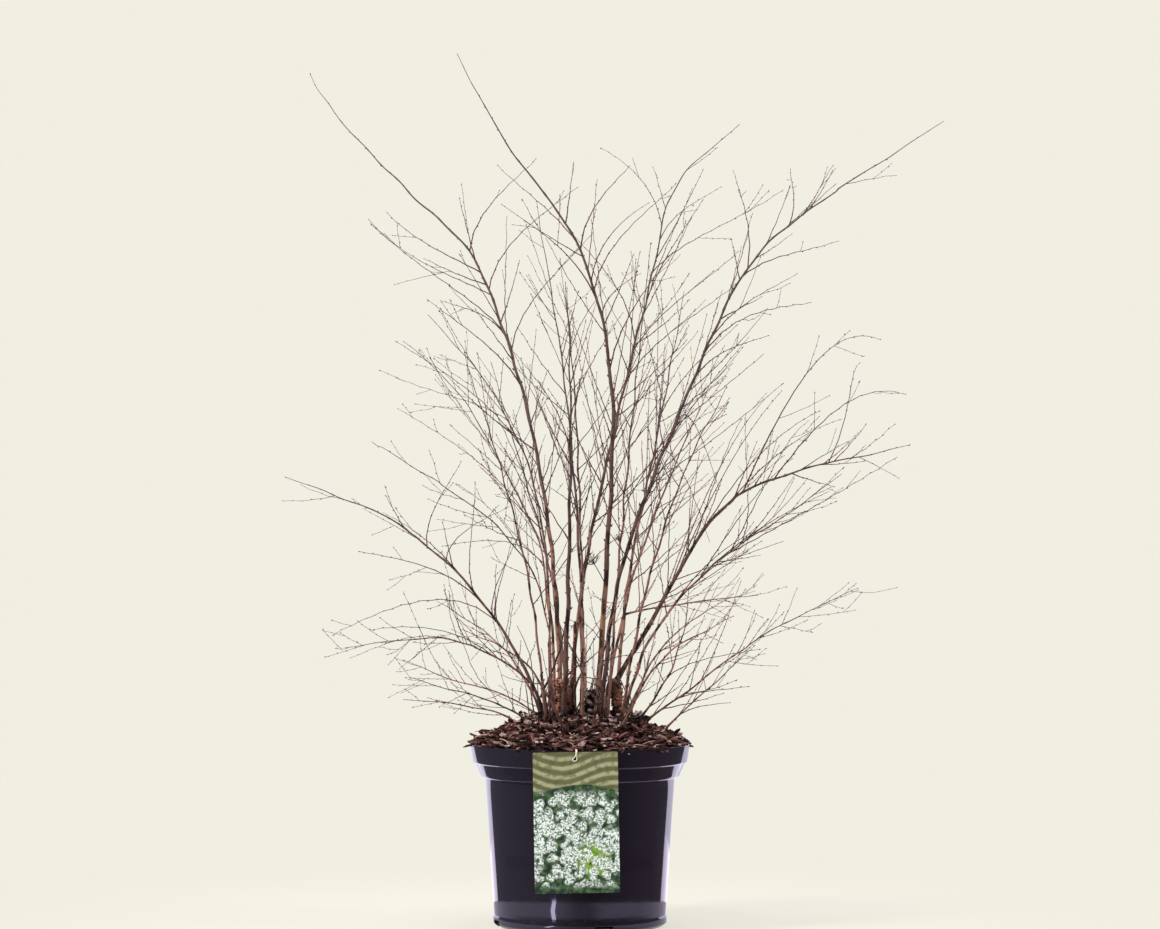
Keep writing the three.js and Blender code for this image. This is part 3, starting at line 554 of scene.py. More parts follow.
def grow_lead(space, parent, distance, tip, arch, roll, thickest=THICKEST_LEAD):
    """A main side shoot leaves along its stem and arches over to a given tip."""
    start, forward, root = shoot_root(parent, distance, thickest)
    radii = shoot_radii(root, LEAD_STEPS)
    for attempt in range(TRIES):
        slide = (roll() - 0.5) * 2 * LEAD_SLIDE * attempt
        sway = (roll() - 0.5) * 2 * LEAD_SLIDE * attempt
        end = np.array([tip[0], tip[1] + slide, tip[2]], float)
        span = end - start
        lift = np.array([0, sway, 4 / 3 * arch])
        run = forward * norm(span) * LEAD_RUN + span * LEAD_RUN
        handles = np.array([start, start + run + lift, start + span * LEAD_TURN + lift, end])
        centres = bezier(handles, LEAD_STEPS + 1)
        if space.is_clear(centres, radii, parent):
            return Limb(centres, radii, handles, parent)
    return None


def grow_shoot(space, parent, distance, turn, length, roll, lean=LEAN, rises=RISE,
               spread=LENGTH_SPREAD, thickest=THICKEST_SHOOT, tries=TRIES):
    """A side shoot by the rule: long on the crown's outer side, short on its inner side."""
    start, forward, root = shoot_root(parent, distance, thickest)
    outward = unit(np.array([start[0], start[1], 0.0]))
    for attempt in range(tries):
        swing = (roll() - 0.5) * (FIRST_SWING + MORE_SWING * attempt)
        along = heading(forward, between(lean, roll()), turn + swing)
        rise = between(rises, roll())
        outer = (1 + along @ outward) / 2
        share = between([INWARD_SHARE, 1], outer) * between(spread, roll())
        reach = length * share * (1 - SHORTENING * attempt)
        steps = 3 if reach > LONG_SHOOT else 2
        lift = UP * reach * rise
        handles = np.array([start,
                            start + along * reach / 3,
                            start + along * reach * 2 / 3 + lift / 3,
                            start + along * reach + lift])
        end = handles[3]
        belongs = inside_crown(end) or reach < SHORT_SHOOT
        if not belongs or end[2] <= LOWEST_TIP:
            continue
        centres = bezier(handles, steps + 1)
        radii = shoot_radii(root, steps)
        if space.is_clear(centres, radii, parent):
            return Limb(centres, radii, handles, parent)
    return None


def grow_spray(space, stem, plan, seed):
    """The limbs of one spray, as in the model: leads, side shoots and their twigs."""
    roll = dice(seed)
    limbs = []

    def keep(grown):
        if grown:
            space.add(grown)
            limbs.append(grown)
        return grown

    shoots = []
    for height, x, y, z, arch in plan.get("leads", []):
        distance = stem.path.at_height(height)
        shoots.append(keep(grow_lead(space, stem, distance, (x, y, z), arch, roll)))
    bearing = stem.path.length * (1 - plan.get("whip", 0))
    count = round(bearing / SHOOT_SPACING)
    start = roll() * 2 * math.pi
    for i in range(count):
        distance = bearing * (i + between(SHOOT_PLACE, roll())) / count
        length = plan["long"] * (1 - (1 - TIP_SHARE) * distance / stem.path.length)
        turn = start + i * GOLDEN_TURN
        shoots.append(keep(grow_shoot(space, stem, distance, turn, length, roll)))
    for shoot in filter(None, shoots):
        grow_twigs(space, shoot, roll, keep)
    return limbs


def grow_twigs(space, parent, roll, keep):
    length = parent.path.length
    count = math.floor(length / TWIG_SPACING)
    start = roll() * 2 * math.pi
    for i in range(count):
        share = FIRST_TWIG + TWIG_STRETCH * (i + between(TWIG_PLACE, roll())) / count
        reach = max(SHORTEST_TWIG, length * (1 - share) * TWIG_SHARE)
        turn = start + i * GOLDEN_TURN
        keep(grow_shoot(space, parent, share * length, turn, reach, roll))


def grow_thin_leads(space, stem, plan, roll):
    """The longest finer shoots of a stem, each moved a little where it finds no room."""
    for height, x, y, z, arch in plan.get("thin", []):
        for lift, shift in product(THIN_LEAD_LIFTS, THIN_LEAD_SHIFTS):
            distance = stem.path.at_height(height + lift)
            grown = grow_lead(space, stem, distance, (x, y + shift, z), arch, roll,
                              THICKEST_THIN_LEAD)
            if grown:
                space.add(grown)
                yield grown
                break


def grow_fine(space, parent, distance, turn, length, roll, spread, thickest):
    """A fine shoot or twig, or None where it finds no room or would reach too far."""
    grown = grow_shoot(space, parent, distance, turn, length, roll, FINE_LEAN, FINE_RISE, spread,
                       thickest, FINE_TRIES)
    if grown and inside_box(grown.handles[3]):
        space.add(grown)
        return grown
    return None


def grow_finer(space, stem, coarse, plan, seed):
    """Finer shoots along the stem, and finer twigs on every shoot of a spray."""
    roll = np.random.default_rng(seed).random
    shoots = list(grow_thin_leads(space, stem, plan, roll))
    bearing = stem.path.length * (1 - plan.get("whip", 0))
    spacing = FINE_SHOOT_SPACING / plan.get("full", 1)
    for i in range(int(bearing / spacing)):
        distance = spacing * (i + roll())
        length = plan["long"] * (1 - (1 - TIP_SHARE) * distance / stem.path.length)
        shoots.append(grow_fine(space, stem, distance, i * GOLDEN_TURN, length, roll,
                                FINE_SHOOT_SPREAD, THICKEST_FINE_SHOOT))
    shoots = [shoot for shoot in shoots if shoot]
    twigs = []
    for parent in coarse + shoots:
        length = parent.path.length
        count = int(length / FINE_TWIG_SPACING + roll())
        for i in range(count):
            share = (i + between(FINE_TWIG_PLACE, roll())) / count
            reach = between(FINE_TWIG_LENGTH, roll() * (1 - share))
            twigs.append(grow_fine(space, parent, share * length, i * GOLDEN_TURN, reach, roll,
                                   LENGTH_SPREAD, THICKEST_FINE_TWIG))
    return shoots + [twig for twig in twigs if twig]


# ------ the shrub's limbs

BOX_LOW = np.array(cad_box[0]) / MM + BOX_MARGIN
BOX_HIGH = np.minimum(np.array(cad_box[1]) / MM - BOX_MARGIN, [np.inf, np.inf, FINE_CEILING])


def height_on(bed, radius):
    """The height of a heap that is told as radii and heights, from its edge inwards."""
    radii, heights = zip(*bed[::-1])
    return np.interp(radius, radii, heights)


def on_mulch(plan):
    """Where the foot of a limb stands on the mulch."""
    x, y = plan["foot"]
    edge = max(0, math.hypot(x, y) - plan["girth"] * FOOT_SHARE)
    return np.array([x, y, height_on(MOUND, edge) + SEAT_GAP])


def on_cane(plan, paths):
    """Where the foot of a low spray stands on its cane's side, towards the spray's first bend."""
    path = paths[plan["on"]]
    girth = next(cane["girth"] for cane in CANES if cane["name"] == plan["on"])
    distance = path.at_height(plan["at"])
    middle = path.at(distance)
    along = path.direction(distance)
    out = np.array(plan["bends"][0]) - middle
    out = unit(out - along * (along @ out))
    return middle + out * (cane_radius(girth, distance, path.length) + SEAT_GAP)


def stretch(path, girth, start, end, step):
    """The limb along a part of a path, in even steps."""
    steps = max(2, math.ceil((end - start) / step))
    distances = start + (end - start) * np.arange(steps + 1) / steps
    return Limb(path.at(distances), cane_radius(girth, distances, path.length))


def stump_limb(plan):
    base = on_mulch(plan)
    top = np.array(plan["top"], float)
    waist = base + (top - base) * STUMP_WAIST
    return Limb([base, waist, top], plan["girth"] * np.array(STUMP_SHARES))


space = Space()
stumps = {plan["name"]: stump_limb(plan) for plan in STUMPS}
for stump in stumps.values():
    space.add(stump)

paths = {}  # of every cane, and of every low spray's stem
sprays = []  # each as its name, its plan and its stem
for plan in CANES:
    first = stumps[plan["on"]].centres[-1] + UP * SEAT_GAP if "on" in plan else on_mulch(plan)
    path = smooth_path([first, *plan["bends"], plan["tip"]])
    split = path.at_height(plan["clean"])
    space.add(stretch(path, plan["girth"], 0, split, CANE_STEP))
    stem = stretch(path, plan["girth"], split + SEAT_GAP, path.length, STEM_STEP)
    paths[plan["name"]] = path
    sprays.append((plan["name"] + "_spray", plan, stem))

for plan in BASAL:
    first = on_cane(plan, paths) if "on" in plan else on_mulch(plan)
    path = smooth_path([first, *plan["bends"], plan["tip"]])
    paths[plan["name"]] = path
    sprays.append((plan["name"], plan, stretch(path, plan["girth"], 0, path.length, STEM_STEP)))

for _, _, stem in sprays:
    space.add(stem)
coarse = [grow_spray(space, stem, plan, FIRST_SEED + i)
          for i, (_, plan, stem) in enumerate(sprays)]

# ------ meshes


def placed(name, data):
    """A new object in the scene."""
    obj = bpy.data.objects.new(name, data)
    bpy.context.collection.objects.link(obj)
    return obj


def finished(piece, material, nodes=()):
    """Give a piece its material, and put it on the body in place of the model's own nodes."""
    piece.data.materials.clear()
    piece.data.materials.append(material)
    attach(piece, "root")
    if nodes:
        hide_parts(*nodes)


class Heap:
    """Many small closed solids of triangles, gathered for one mesh.

    Its UVs tell how far along its limb a point lies, and a shade of the limb's own.
    """

    def __init__(self):
        self.points = []
        self.triangles = []
        self.uvs = []
        self.count = 0

    def add(self, copies, pattern, uvs):
        """copies: the points of each copy. pattern: the triangles of one. uvs: by point."""
        many, size, _ = copies.shape
        first = self.count + size * np.arange(many)
        self.triangles.append((pattern[None] + first[:, None, None]).reshape(-1, 3))
        self.points.append(copies.reshape(-1, 3))
        self.uvs.append(np.broadcast_to(uvs, (many, size, 2)).reshape(-1, 2))
        self.count += many * size

    def mesh(self, name, smooth):
        points = np.vstack(self.points) * MM
        triangles = np.vstack(self.triangles)
        mesh = bpy.data.meshes.new(name)
        mesh.vertices.add(len(points))
        mesh.vertices.foreach_set("co", points.ravel())
        mesh.loops.add(triangles.size)
        mesh.loops.foreach_set("vertex_index", triangles.ravel())
        mesh.polygons.add(len(triangles))
        mesh.polygons.foreach_set("loop_start", np.arange(0, triangles.size, 3))
        mesh.polygons.foreach_set("use_smooth", np.full(len(triangles), smooth))
        layer = mesh.uv_layers.new(name="UVMap")
        layer.uv.foreach_set("vector", np.vstack(self.uvs)[triangles.ravel()].ravel())
        mesh.update()
        mesh.validate()
        return mesh


def heap_piece(name, heap, material, nodes=(), smooth=True):
    """All that a heap has gathered, as one finished piece."""
    finished(placed(name, heap.mesh(name, smooth)), material, nodes)


def tube_pattern(rings, sides):
    """The triangles of a closed tube whose points run ring by ring."""
    ring = np.arange(rings - 1)[:, None] * sides
    side = np.arange(sides)[None]
    after = (side + 1) % sides
    a, b, c, d = ring + side, ring + after, ring + sides + after, ring + sides + side
    walls = np.stack([np.stack([a, b, c], -1), np.stack([a, c, d], -1)], 2).reshape(-1, 3)
    fan = np.array([[0, j + 1, j] for j in range(1, sides - 1)])
    end = fan[:, ::-1] + (rings - 1) * sides
    return np.vstack([walls, fan, end])


def add_tubes(heap, lines, radii, shades, sides):
    """Closed tubes along many lines with the same number of points."""
    lines = np.asarray(lines)
    radii = np.asarray(radii)
    many, rings, _ = lines.shape
    forward = unit_rows(np.gradient(lines, axis=1))
    chord = lines[:, -1] - lines[:, 0]
    along_x = np.abs(chord[:, :1]) > NEAR_ALONG_X * norm(chord, axis=1, keepdims=True)
    side = np.where(along_x, [[0.0, 1.0, 0.0]], [[1.0, 0.0, 0.0]])
    across = unit_rows(np.cross(forward, side[:, None]))
    over = np.cross(forward, across)
    turn = 2 * np.pi * np.arange(sides) / sides
    ring = (across[:, :, None] * np.cos(turn)[:, None] + over[:, :, None] * np.sin(turn)[:, None])
    points = lines[:, :, None] + ring * radii[:, :, None, None]
    along = np.broadcast_to(np.linspace(0, 1, rings)[None, :, None], (many, rings, sides))
    shade = np.broadcast_to(np.asarray(shades)[:, None, None], (many, rings, sides))
    uvs = np.stack([along, shade], -1).reshape(many, -1, 2)
    heap.add(points.reshape(many, -1, 3), tube_pattern(rings, sides), uvs)


def tube_piece(name, material, lines, radii, sides, roll):
    """Closed tubes, each in a shade of its own, as one finished piece."""
    heap = Heap()
    add_tubes(heap, lines, radii, roll.random(len(lines)), sides)
    heap_piece(name, heap, material)


def turned_frames(forward, turns):
    """For each direction, the two square to it, turned round it."""
    side = np.where(np.abs(forward[:, :1]) > NEAR_ALONG_X, [[0.0, 1.0, 0.0]], [[1.0, 0.0, 0.0]])
    across = unit_rows(np.cross(forward, side))
    over = np.cross(forward, across)
    cos, sin = np.cos(turns)[:, None], np.sin(turns)[:, None]
    return across * cos + over * sin, over * cos - across * sin


def only(obj):
    """Select one object and no other, and make it active."""
    bpy.ops.object.select_all(action="DESELECT")
    obj.select_set(True)
    bpy.context.view_layer.objects.active = obj


def hold(obj):
    """Put an object's place, turn and size into its mesh."""
    only(obj)
    bpy.ops.object.transform_apply(location=True, rotation=True, scale=True)


def edit_mode(on=True):
    bpy.ops.object.mode_set(mode="EDIT" if on else "OBJECT")


def modify(obj, kind, **settings):
    modifier = obj.modifiers.new(kind.lower(), kind)
    for name, value in settings.items():
        setattr(modifier, name, value)
    only(obj)
    bpy.ops.object.modifier_apply(modifier=modifier.name)


def grain(name, kind, size, along=1.0, depth=2):
    """A texture for relief, and the object whose stretched space it lies in.

    size: millimetres from one bump to the next. along: how many times longer they are upwards.
    """
    texture = bpy.data.textures.new(name, kind)
    texture.noise_scale = 1
    if kind == "CLOUDS":
        texture.noise_depth = depth
    space_of = placed(name + "_space", None)
    space_of.scale = (size * MM, size * MM, size * along * MM)
    bpy.context.view_layer.update()
    return texture, space_of


def roughen(obj, relief, strength, group=""):
    """Move the surface in and out by a texture, this many millimetres in all."""
    texture, space_of = relief
    modify(obj, "DISPLACE", texture=texture, texture_coords="OBJECT",
           texture_coords_object=space_of, strength=strength * MM, mid_level=0.5,
           vertex_group=group)


def fresh(name):
    """Name the object that was just made, and go on shaping it."""
    obj = bpy.context.object
    obj.name = name
    obj.data.name = name
    only(obj)
    edit_mode()
    bpy.ops.mesh.select_all(action="SELECT")
    return obj


def shaped(obj):
    """Leave edit mode, with the faces facing out and the shape held in the mesh."""
    bpy.ops.mesh.select_all(action="SELECT")
    bpy.ops.mesh.normals_make_consistent(inside=False)
    edit_mode(False)
    hold(obj)
    return obj


def smooth_below(obj, degrees):
    """Shade an object smooth, but for its edges that are sharper than an angle."""
    only(obj)
    bpy.ops.object.shade_smooth_by_angle(angle=math.radians(degrees))


def cut_out(obj, cutter):
    modify(obj, "BOOLEAN", operation="DIFFERENCE", solver="EXACT", object=cutter)
    bpy.data.objects.remove(cutter)


def turned(name, outline, sides):
    """A body round the axis: a disc whose edge is drawn along radii and heights, then closed."""
    radius, z = outline[0]
    bpy.ops.mesh.primitive_circle_add(
        vertices=sides, radius=radius * MM, fill_type="TRIFAN", location=(0, 0, z * MM))
    obj = fresh(name)
    bpy.ops.mesh.region_to_loop()
    for (radius, z), (next_radius, next_z) in zip(outline, outline[1:]):
        lift = (0, 0, (next_z - z) * MM)
        share = next_radius / radius
        bpy.ops.mesh.extrude_region_move(TRANSFORM_OT_translate={"value": lift})
        bpy.ops.transform.resize(value=(share, share, 1), center_override=(0, 0, 0))
    bpy.ops.mesh.edge_face_add()
    bpy.ops.mesh.poke()
    return shaped(obj)


def parted(outline, step):
    """An outline with points added, so that no stretch of it is longer than a step."""
    points = [outline[0]]
    for (r0, z0), (r1, z1) in zip(outline, outline[1:]):
        count = max(1, math.ceil(math.hypot(r1 - r0, z1 - z0) / step))
        points += [(r0 + (r1 - r0) * i / count, z0 + (z1 - z0) * i / count)
                   for i in range(1, count + 1)]
    return points


def pattern_of(obj):
    """A modelled thing as points in millimetres and triangles; the object itself goes."""
    mesh = obj.data
    mesh.calc_loop_triangles()
    points = np.array([vertex.co for vertex in mesh.vertices]) / MM
    triangles = np.array([triangle.vertices for triangle in mesh.loop_triangles])
    bpy.data.objects.remove(obj)
    return points, triangles


def scatter(heap, pattern, places, rotations, sizes, shades):
    """Copies of one pattern, each turned, sized and put in its place."""
    points, triangles = pattern
    copies = np.einsum("nij,npj->npi", rotations, points[None] * np.asarray(sizes)[:, None, None])
    copies = copies + np.asarray(places)[:, None]
    shades = np.broadcast_to(np.asarray(shades)[:, None], (len(copies), len(points)))
    heap.add(copies, triangles, np.stack([np.zeros(shades.shape), shades], -1))


def tumbled(turns):
    return np.array([Euler(turn).to_matrix() for turn in turns])


# ------ finishes

NOISE_ROUGHNESS = 0.55


def math_method(operation, reflected=False):
    """An operator for Wire that adds one Math node."""
    def method(self, *others):
        values = [*others, self] if reflected else [self, *others]
        return self.finish.node("ShaderNodeMath", {"operation": operation}, *values)

    return method


class Wire:
    """A socket of a finish; sums with it add Math nodes."""

    __add__ = math_method("ADD")
    __radd__ = math_method("ADD", reflected=True)
    __sub__ = math_method("SUBTRACT")
    __rsub__ = math_method("SUBTRACT", reflected=True)
    __mul__ = math_method("MULTIPLY")
    __rmul__ = math_method("MULTIPLY", reflected=True)
    __truediv__ = math_method("DIVIDE")
    sine = math_method("SINE")

    def __init__(self, finish, socket):
        self.finish = finish
        self.socket = socket

    def ramp(self, low, high, start=0.0, end=1.0):
        """From start to end while this goes from low to high, smoothly, and level outside."""
        return self.finish.node(
            "ShaderNodeMapRange", {"interpolation_type": "SMOOTHSTEP"}, self, low, high, start, end)


class Finish:
    """A material: a Principled shader, and the nodes that feed it."""

    def __init__(self, name, **constants):
        self.material = bpy.data.materials.new(name)
        self.material.use_nodes = True
        self.tree = self.material.node_tree
        self.shader = next(node for node in self.tree.nodes if node.type == "BSDF_PRINCIPLED")
        for socket, value in constants.items():
            self.shader.inputs[socket.replace("_", " ")].default_value = value

    def fill(self, socket, value):
        if isinstance(value, Wire):
            self.tree.links.new(value.socket, socket)
        else:
            socket.default_value = value

    def node(self, kind, settings, *values, output=0, **named):
        """A node of any kind: its settings first, then its sockets' values or links."""
        node = self.tree.nodes.new(kind)
        for setting, value in settings.items():
            setattr(node, setting, value)
        enabled = [socket for socket in node.inputs if socket.enabled]
        for socket, value in zip(enabled, values):
            self.fill(socket, value)
        for name, value in named.items():
            self.fill(node.inputs[name], value)
        return Wire(self, node.outputs[output])

    def feed(self, socket, wire):
        self.tree.links.new(wire.socket, self.shader.inputs[socket])

    def place(self):
        """Where a point lies on the object, in metres."""
        return self.node("ShaderNodeTexCoord", {}, output="Object")

    def axes(self, vector):
        node = self.tree.nodes.new("ShaderNodeSeparateXYZ")
        self.tree.links.new(vector.socket, node.inputs[0])
        return [Wire(self, output) for output in node.outputs]

    def along_and_shade(self):
        """How far along its limb a point lies, from 0 to 1, and the limb's own shade."""
        uv = self.node("ShaderNodeUVMap", {"uv_map": "UVMap"})
        return self.axes(uv)[:2]

    def stretched(self, vector, upwards):
        """A vector for patterns that are longer or shorter upwards: less than 1 is longer."""
        return self.node("ShaderNodeVectorMath", {"operation": "MULTIPLY"}, vector, (1, 1, upwards))

    def noise(self, vector, scale, detail=3):
        return self.node("ShaderNodeTexNoise", {}, Vector=vector, Scale=scale, Detail=detail,
                         Roughness=NOISE_ROUGHNESS)

    def cells(self, vector, scale, **named):
        """How far a point lies from the middle of its cell."""
        return self.node("ShaderNodeTexVoronoi", {"feature": "F1"}, output="Distance",
                         Vector=vector, Scale=scale, **named)

    def mix(self, share, first, second):
        node = self.tree.nodes.new("ShaderNodeMix")
        node.data_type = "RGBA"
        for socket, value in zip((0, 6, 7), (share, first, second)):
            self.fill(node.inputs[socket], value)
        return Wire(self, node.outputs[2])

    def bump(self, height, depth):
        """Relief in the light only, this many millimetres deep."""
        self.feed("Normal", self.node("ShaderNodeBump", {}, Height=height, Distance=depth * MM))


def colour(red, green, blue):
    """A colour told as on a screen, from 0 to 255."""
    def light(value):
        value /= 255
        return value / 12.92 if value <= 0.04045 else ((value + 0.055) / 1.055) ** 2.4

    return (light(red), light(green), light(blue), 1)


# ------ barks

# Heights in metres over which the bark changes.
# SHADED_FOOT: painted shade, the bark drawn darker near the mulch.
SHADED_FOOT = [0.34, 0.26]
UPPER_BARK = [0.4, 0.47]
WEATHERED = [0.42, 0.72]
WARM_BELOW = [0.95, 0.35]


def bark_finish(name, dark, warm, pale, red_share, grey=None, upper=None):
    """Ribbed brown bark: long streaks, paler ribs, and warm patches low down.

    The warm and pale colours may give way to others higher up, and all may turn grey at the
    top.
    """
    finish = Finish(name, Roughness=0.62, Specular_IOR_Level=0.35)
    place = finish.place()
    height = finish.axes(place)[2]
    streaks = finish.noise(finish.stretched(place, 0.1), 480, 4)
    patches = finish.noise(finish.stretched(place, 0.3), 160, 3)
    specks = finish.noise(place, 1400, 2)
    stains = finish.noise(finish.stretched(place, 0.4), 95, 4)
    low = height.ramp(*WARM_BELOW)
    if upper:
        rise = height.ramp(*UPPER_BARK)
        warm = finish.mix(rise, warm, upper[0])
        pale = finish.mix(rise, pale, upper[1])
    warmth = (patches + 0.55 * low).ramp(0.62, 1.05) * red_share
    ground = finish.mix(streaks.ramp(0.45, 0.55), dark, warm)
    ground = finish.mix(warmth, ground, pale)
    ground = finish.mix(specks.ramp(0.58, 0.7) * 0.6, ground, pale)
    weathering = height.ramp(*WEATHERED)
    if grey:
        ground = finish.mix(weathering * 0.8, ground, grey)
    ground = finish.mix(stains.ramp(0.49, 0.59) * (0.85 - weathering * 0.5), ground, dark)
    # Painted shade: the bark is darkened towards its foot, near the mulch.
    finish.feed("Base Color", finish.mix(height.ramp(*SHADED_FOOT) * 0.3, ground, dark))
    finish.feed("Roughness", streaks.ramp(0.3, 0.7, 0.5, 0.78))
    finish.bump(streaks * 0.8 + specks * 0.2, 0.5)
    return finish.material


def twig_finish(name, root, tip):
    """Thin smooth bark: each limb a little lighter or darker, its end in the tip's colour."""
    finish = Finish(name, Roughness=0.55, Specular_IOR_Level=0.35)
    along, shade = finish.along_and_shade()
    streaks = finish.noise(finish.stretched(finish.place(), 0.25), 700, 2)
    ground = finish.mix((along * 0.7 + streaks * 0.5).ramp(0.2, 0.95), root, tip)
    lighter = [value * 1.7 for value in root[:3]] + [1]
    finish.feed("Base Color", finish.mix(shade * 0.45, ground, lighter))
    finish.bump(streaks, 0.2)
    return finish.material


def bud_finish(name, dark, pale):
    finish = Finish(name, Roughness=0.5, Specular_IOR_Level=0.4)
    _, shade = finish.along_and_shade()
    scales = finish.noise(finish.place(), 1500, 1)
    tone = (shade * 0.6 + scales * 0.4).ramp(0.35, 0.85)
    finish.feed("Base Color", finish.mix(tone, dark, pale))
    return finish.material


def mottled_finish(name, scale, shares, limits, dark, pale, raw=None):
    """Loose bark or dead leaves, each in its own shade; raw: the colour of torn spots.

    shares: of the shade and of the mottle in the tone, which pales between the limits.
    """
    finish = Finish(name, Roughness=0.8, Specular_IOR_Level=0.3)
    _, shade = finish.along_and_shade()
    mottle = finish.noise(finish.place(), scale, 3)
    tone = (shade * shares[0] + mottle * shares[1]).ramp(*limits)
    ground = finish.mix(tone, dark, pale)
    if raw:
        ground = finish.mix(mottle.ramp(0.58, 0.75) * 0.6, ground, raw)
    finish.feed("Base Color", ground)
    finish.bump(mottle, 0.5)
    return finish.material


# Sprays take one of four twig colours: root, tip, and paler buds.
TWIG_COLOURS = {
    "plum": (colour(67, 42, 49), colour(88, 65, 74), colour(79, 54, 58)),
    "umber": (colour(52, 32, 33), colour(76, 54, 58), colour(68, 45, 45)),
    "russet": (colour(76, 43, 40), colour(94, 68, 70), colour(86, 59, 58)),
    "tan": (colour(94, 65, 56), colour(108, 84, 83), colour(99, 72, 68)),
}
SPRAY_COLOURS = ["plum", "umber", "russet", "plum", "tan", "umber", "plum", "russet", "umber",
                 "plum", "tan"]  # dealt out in turn

# ------ limbs as they are drawn

DRAWN_SHARE = 0.74  # a drawn shoot's radius, of the model's
DRAWN_GIRTH = 0.86  # a drawn cane's radius, of the model's
GIRTH_SPREAD = 0.05  # share by which canes of the same girth differ
WHIP_BEND = 1.6  # how late a stem loses the thickness that its tip lacks
THIN_TO_THICK = [0.8, 2.6]  # radii between which a stem's swellings change
SWELLING_SHARPNESS = 6
WAVER = 0.8  # how far a stem strays from its path
WAVER_LENGTH = 96
WAVER_SPREAD = [0.7, 1.3]
SETTLED = 60  # length over which a stem begins to waver
BOUGH_ROUNDNESS = 3  # a bough has 4 and twice this many sides
BOUGH_SIDES = 4 + 2 * BOUGH_ROUNDNESS
STEM_TIP = 0.34  # radius
TIP_END = 0.7  # share of its radius that a tip keeps at its very end
FINEST_END = 0.8
SHOOT_BEND = 0.8
EASING = 45  # a stem's bends are eased over this length either way
EASED = np.linspace(-EASING, EASING, 9)
KINK_SPREAD = [0.6, 1.4]
SQUARE_TWIG = 0.6  # from this radius a twig has four sides, below it three
LOOSE_TURN = 6  # radians, nearly a whole turn

BUD_SPACING = 12
BUD_TURN = 0.92 * np.pi  # from one bud to the next, round the twig
BUD_LEAN = 0.5  # radians away from its twig
BUD_REACH = 1.5  # length over which a bud takes its twig's direction
BUD_SIZES = [0.8, 1.3]
BUD_RADIUS = 0.66
BUD_LENGTH = 2.0
BUD_FLATNESS = 0.8
BUD_ROOT = 0.7  # how far it is pointed at its root
BUD_LIFT = 0.3  # of its widest ring, off the place where it stands
OLD_BUD_SPACING = 16  # on the bare wood of a stem
OLD_WOOD = 1.9  # radius from which a stem bears spurs in place of buds
SPUR_SPACING = 19
SPUR_SIZE = 1.7
FEWEST_RINGS = 8  # a shorter stretch of old wood bears no spurs


def stem_radii(distances, length, girth, roll):
    """A stem's radii: thinner to its tip, and swollen at each old bud."""
    radii = DRAWN_GIRTH * cane_radius(girth, distances, length)
    radii *= 1 - WHIP_THINNING * (distances / length) ** WHIP_BEND
    swelling = np.interp(radii, THIN_TO_THICK, STEM_SWELLING)
    waves = np.maximum(0, np.cos(2 * np.pi * distances / STEM_KINK_SPACING))
    own = 1 + GIRTH_SPREAD * (roll() - 0.5)
    radii = np.maximum(STEM_TIP, radii * (1 + swelling * waves**SWELLING_SHARPNESS) * own)
    radii[-1] = STEM_TIP * TIP_END
    return radii


def stem_line(path, girth, sunk, roll):
    """A whole cane or stem, from a little way inside what it stands on to its tip."""
    distances = np.append(np.arange(0, path.length, STEM_RING), path.length)
    reach = np.minimum(1, np.minimum(distances, path.length - distances) / EASING)
    points = np.mean([path.at(distances + reach * shift) for shift in EASED], axis=0)
    radii = stem_radii(distances, path.length, girth, roll)
    forward = unit_rows(np.gradient(points, axis=0))
    across, over = turned_frames(forward, np.full(len(points), roll() * LOOSE_TURN))
    settled = np.minimum(1, distances / SETTLED)
    for way in (across, over):
        phase = roll() * 2 * np.pi
        length = WAVER_LENGTH * between(WAVER_SPREAD, roll())
        waver = WAVER * np.sin(2 * np.pi * distances / length + phase)
        zigzag = STEM_KINK * np.abs(((distances / STEM_KINK_SPACING + roll()) % 2) - 1)
        points = points + way * ((waver + zigzag) * settled)[:, None]
    back = -unit(path.direction(0) + UP / 2) * sunk
    foot = [points[0] + back, points[0] + back / 2]
    return np.vstack([foot, points]), np.concatenate([radii[[0, 0]], radii])


def nearest(line, point):
    steps = np.diff(line, axis=0)
    share = np.einsum("ij,ij->i", point - line[:-1], steps) / np.einsum("ij,ij->i", steps, steps)
    places = line[:-1] + steps * np.clip(share, 0, 1)[:, None]
    return places[np.argmin(norm(places - point, axis=1))]


def draw_shoot(limb, roll, slim):
    """Its finer line starts on its parent's line, and steps aside at each bud."""
    handles = limb.handles.copy()
    handles[0] = nearest(limb.parent.line, handles[0])
    count = max(3, round(limb.path.length / NODE_SPACING) + 1)
    points = bezier(handles, count)
    aside = unit(np.cross(handles[3] - handles[0], [roll() - 0.5, roll() - 0.5, roll() - 0.5]))
    side = np.where(np.arange(count) % 2, 1.0, -1.0) * KINK * between(KINK_SPREAD, roll())
    side[0] = 0
    limb.line = points + aside * side[:, None]
    root = max(THINNEST, DRAWN_SHARE * math.sqrt(slim) * limb.radii[0])
    end = max(THINNEST * FINEST_END, root * (1 - DRAWN_THINNING))
    limb.line_radii = root + (end - root) * np.linspace(0, 1, count) ** SHOOT_BEND


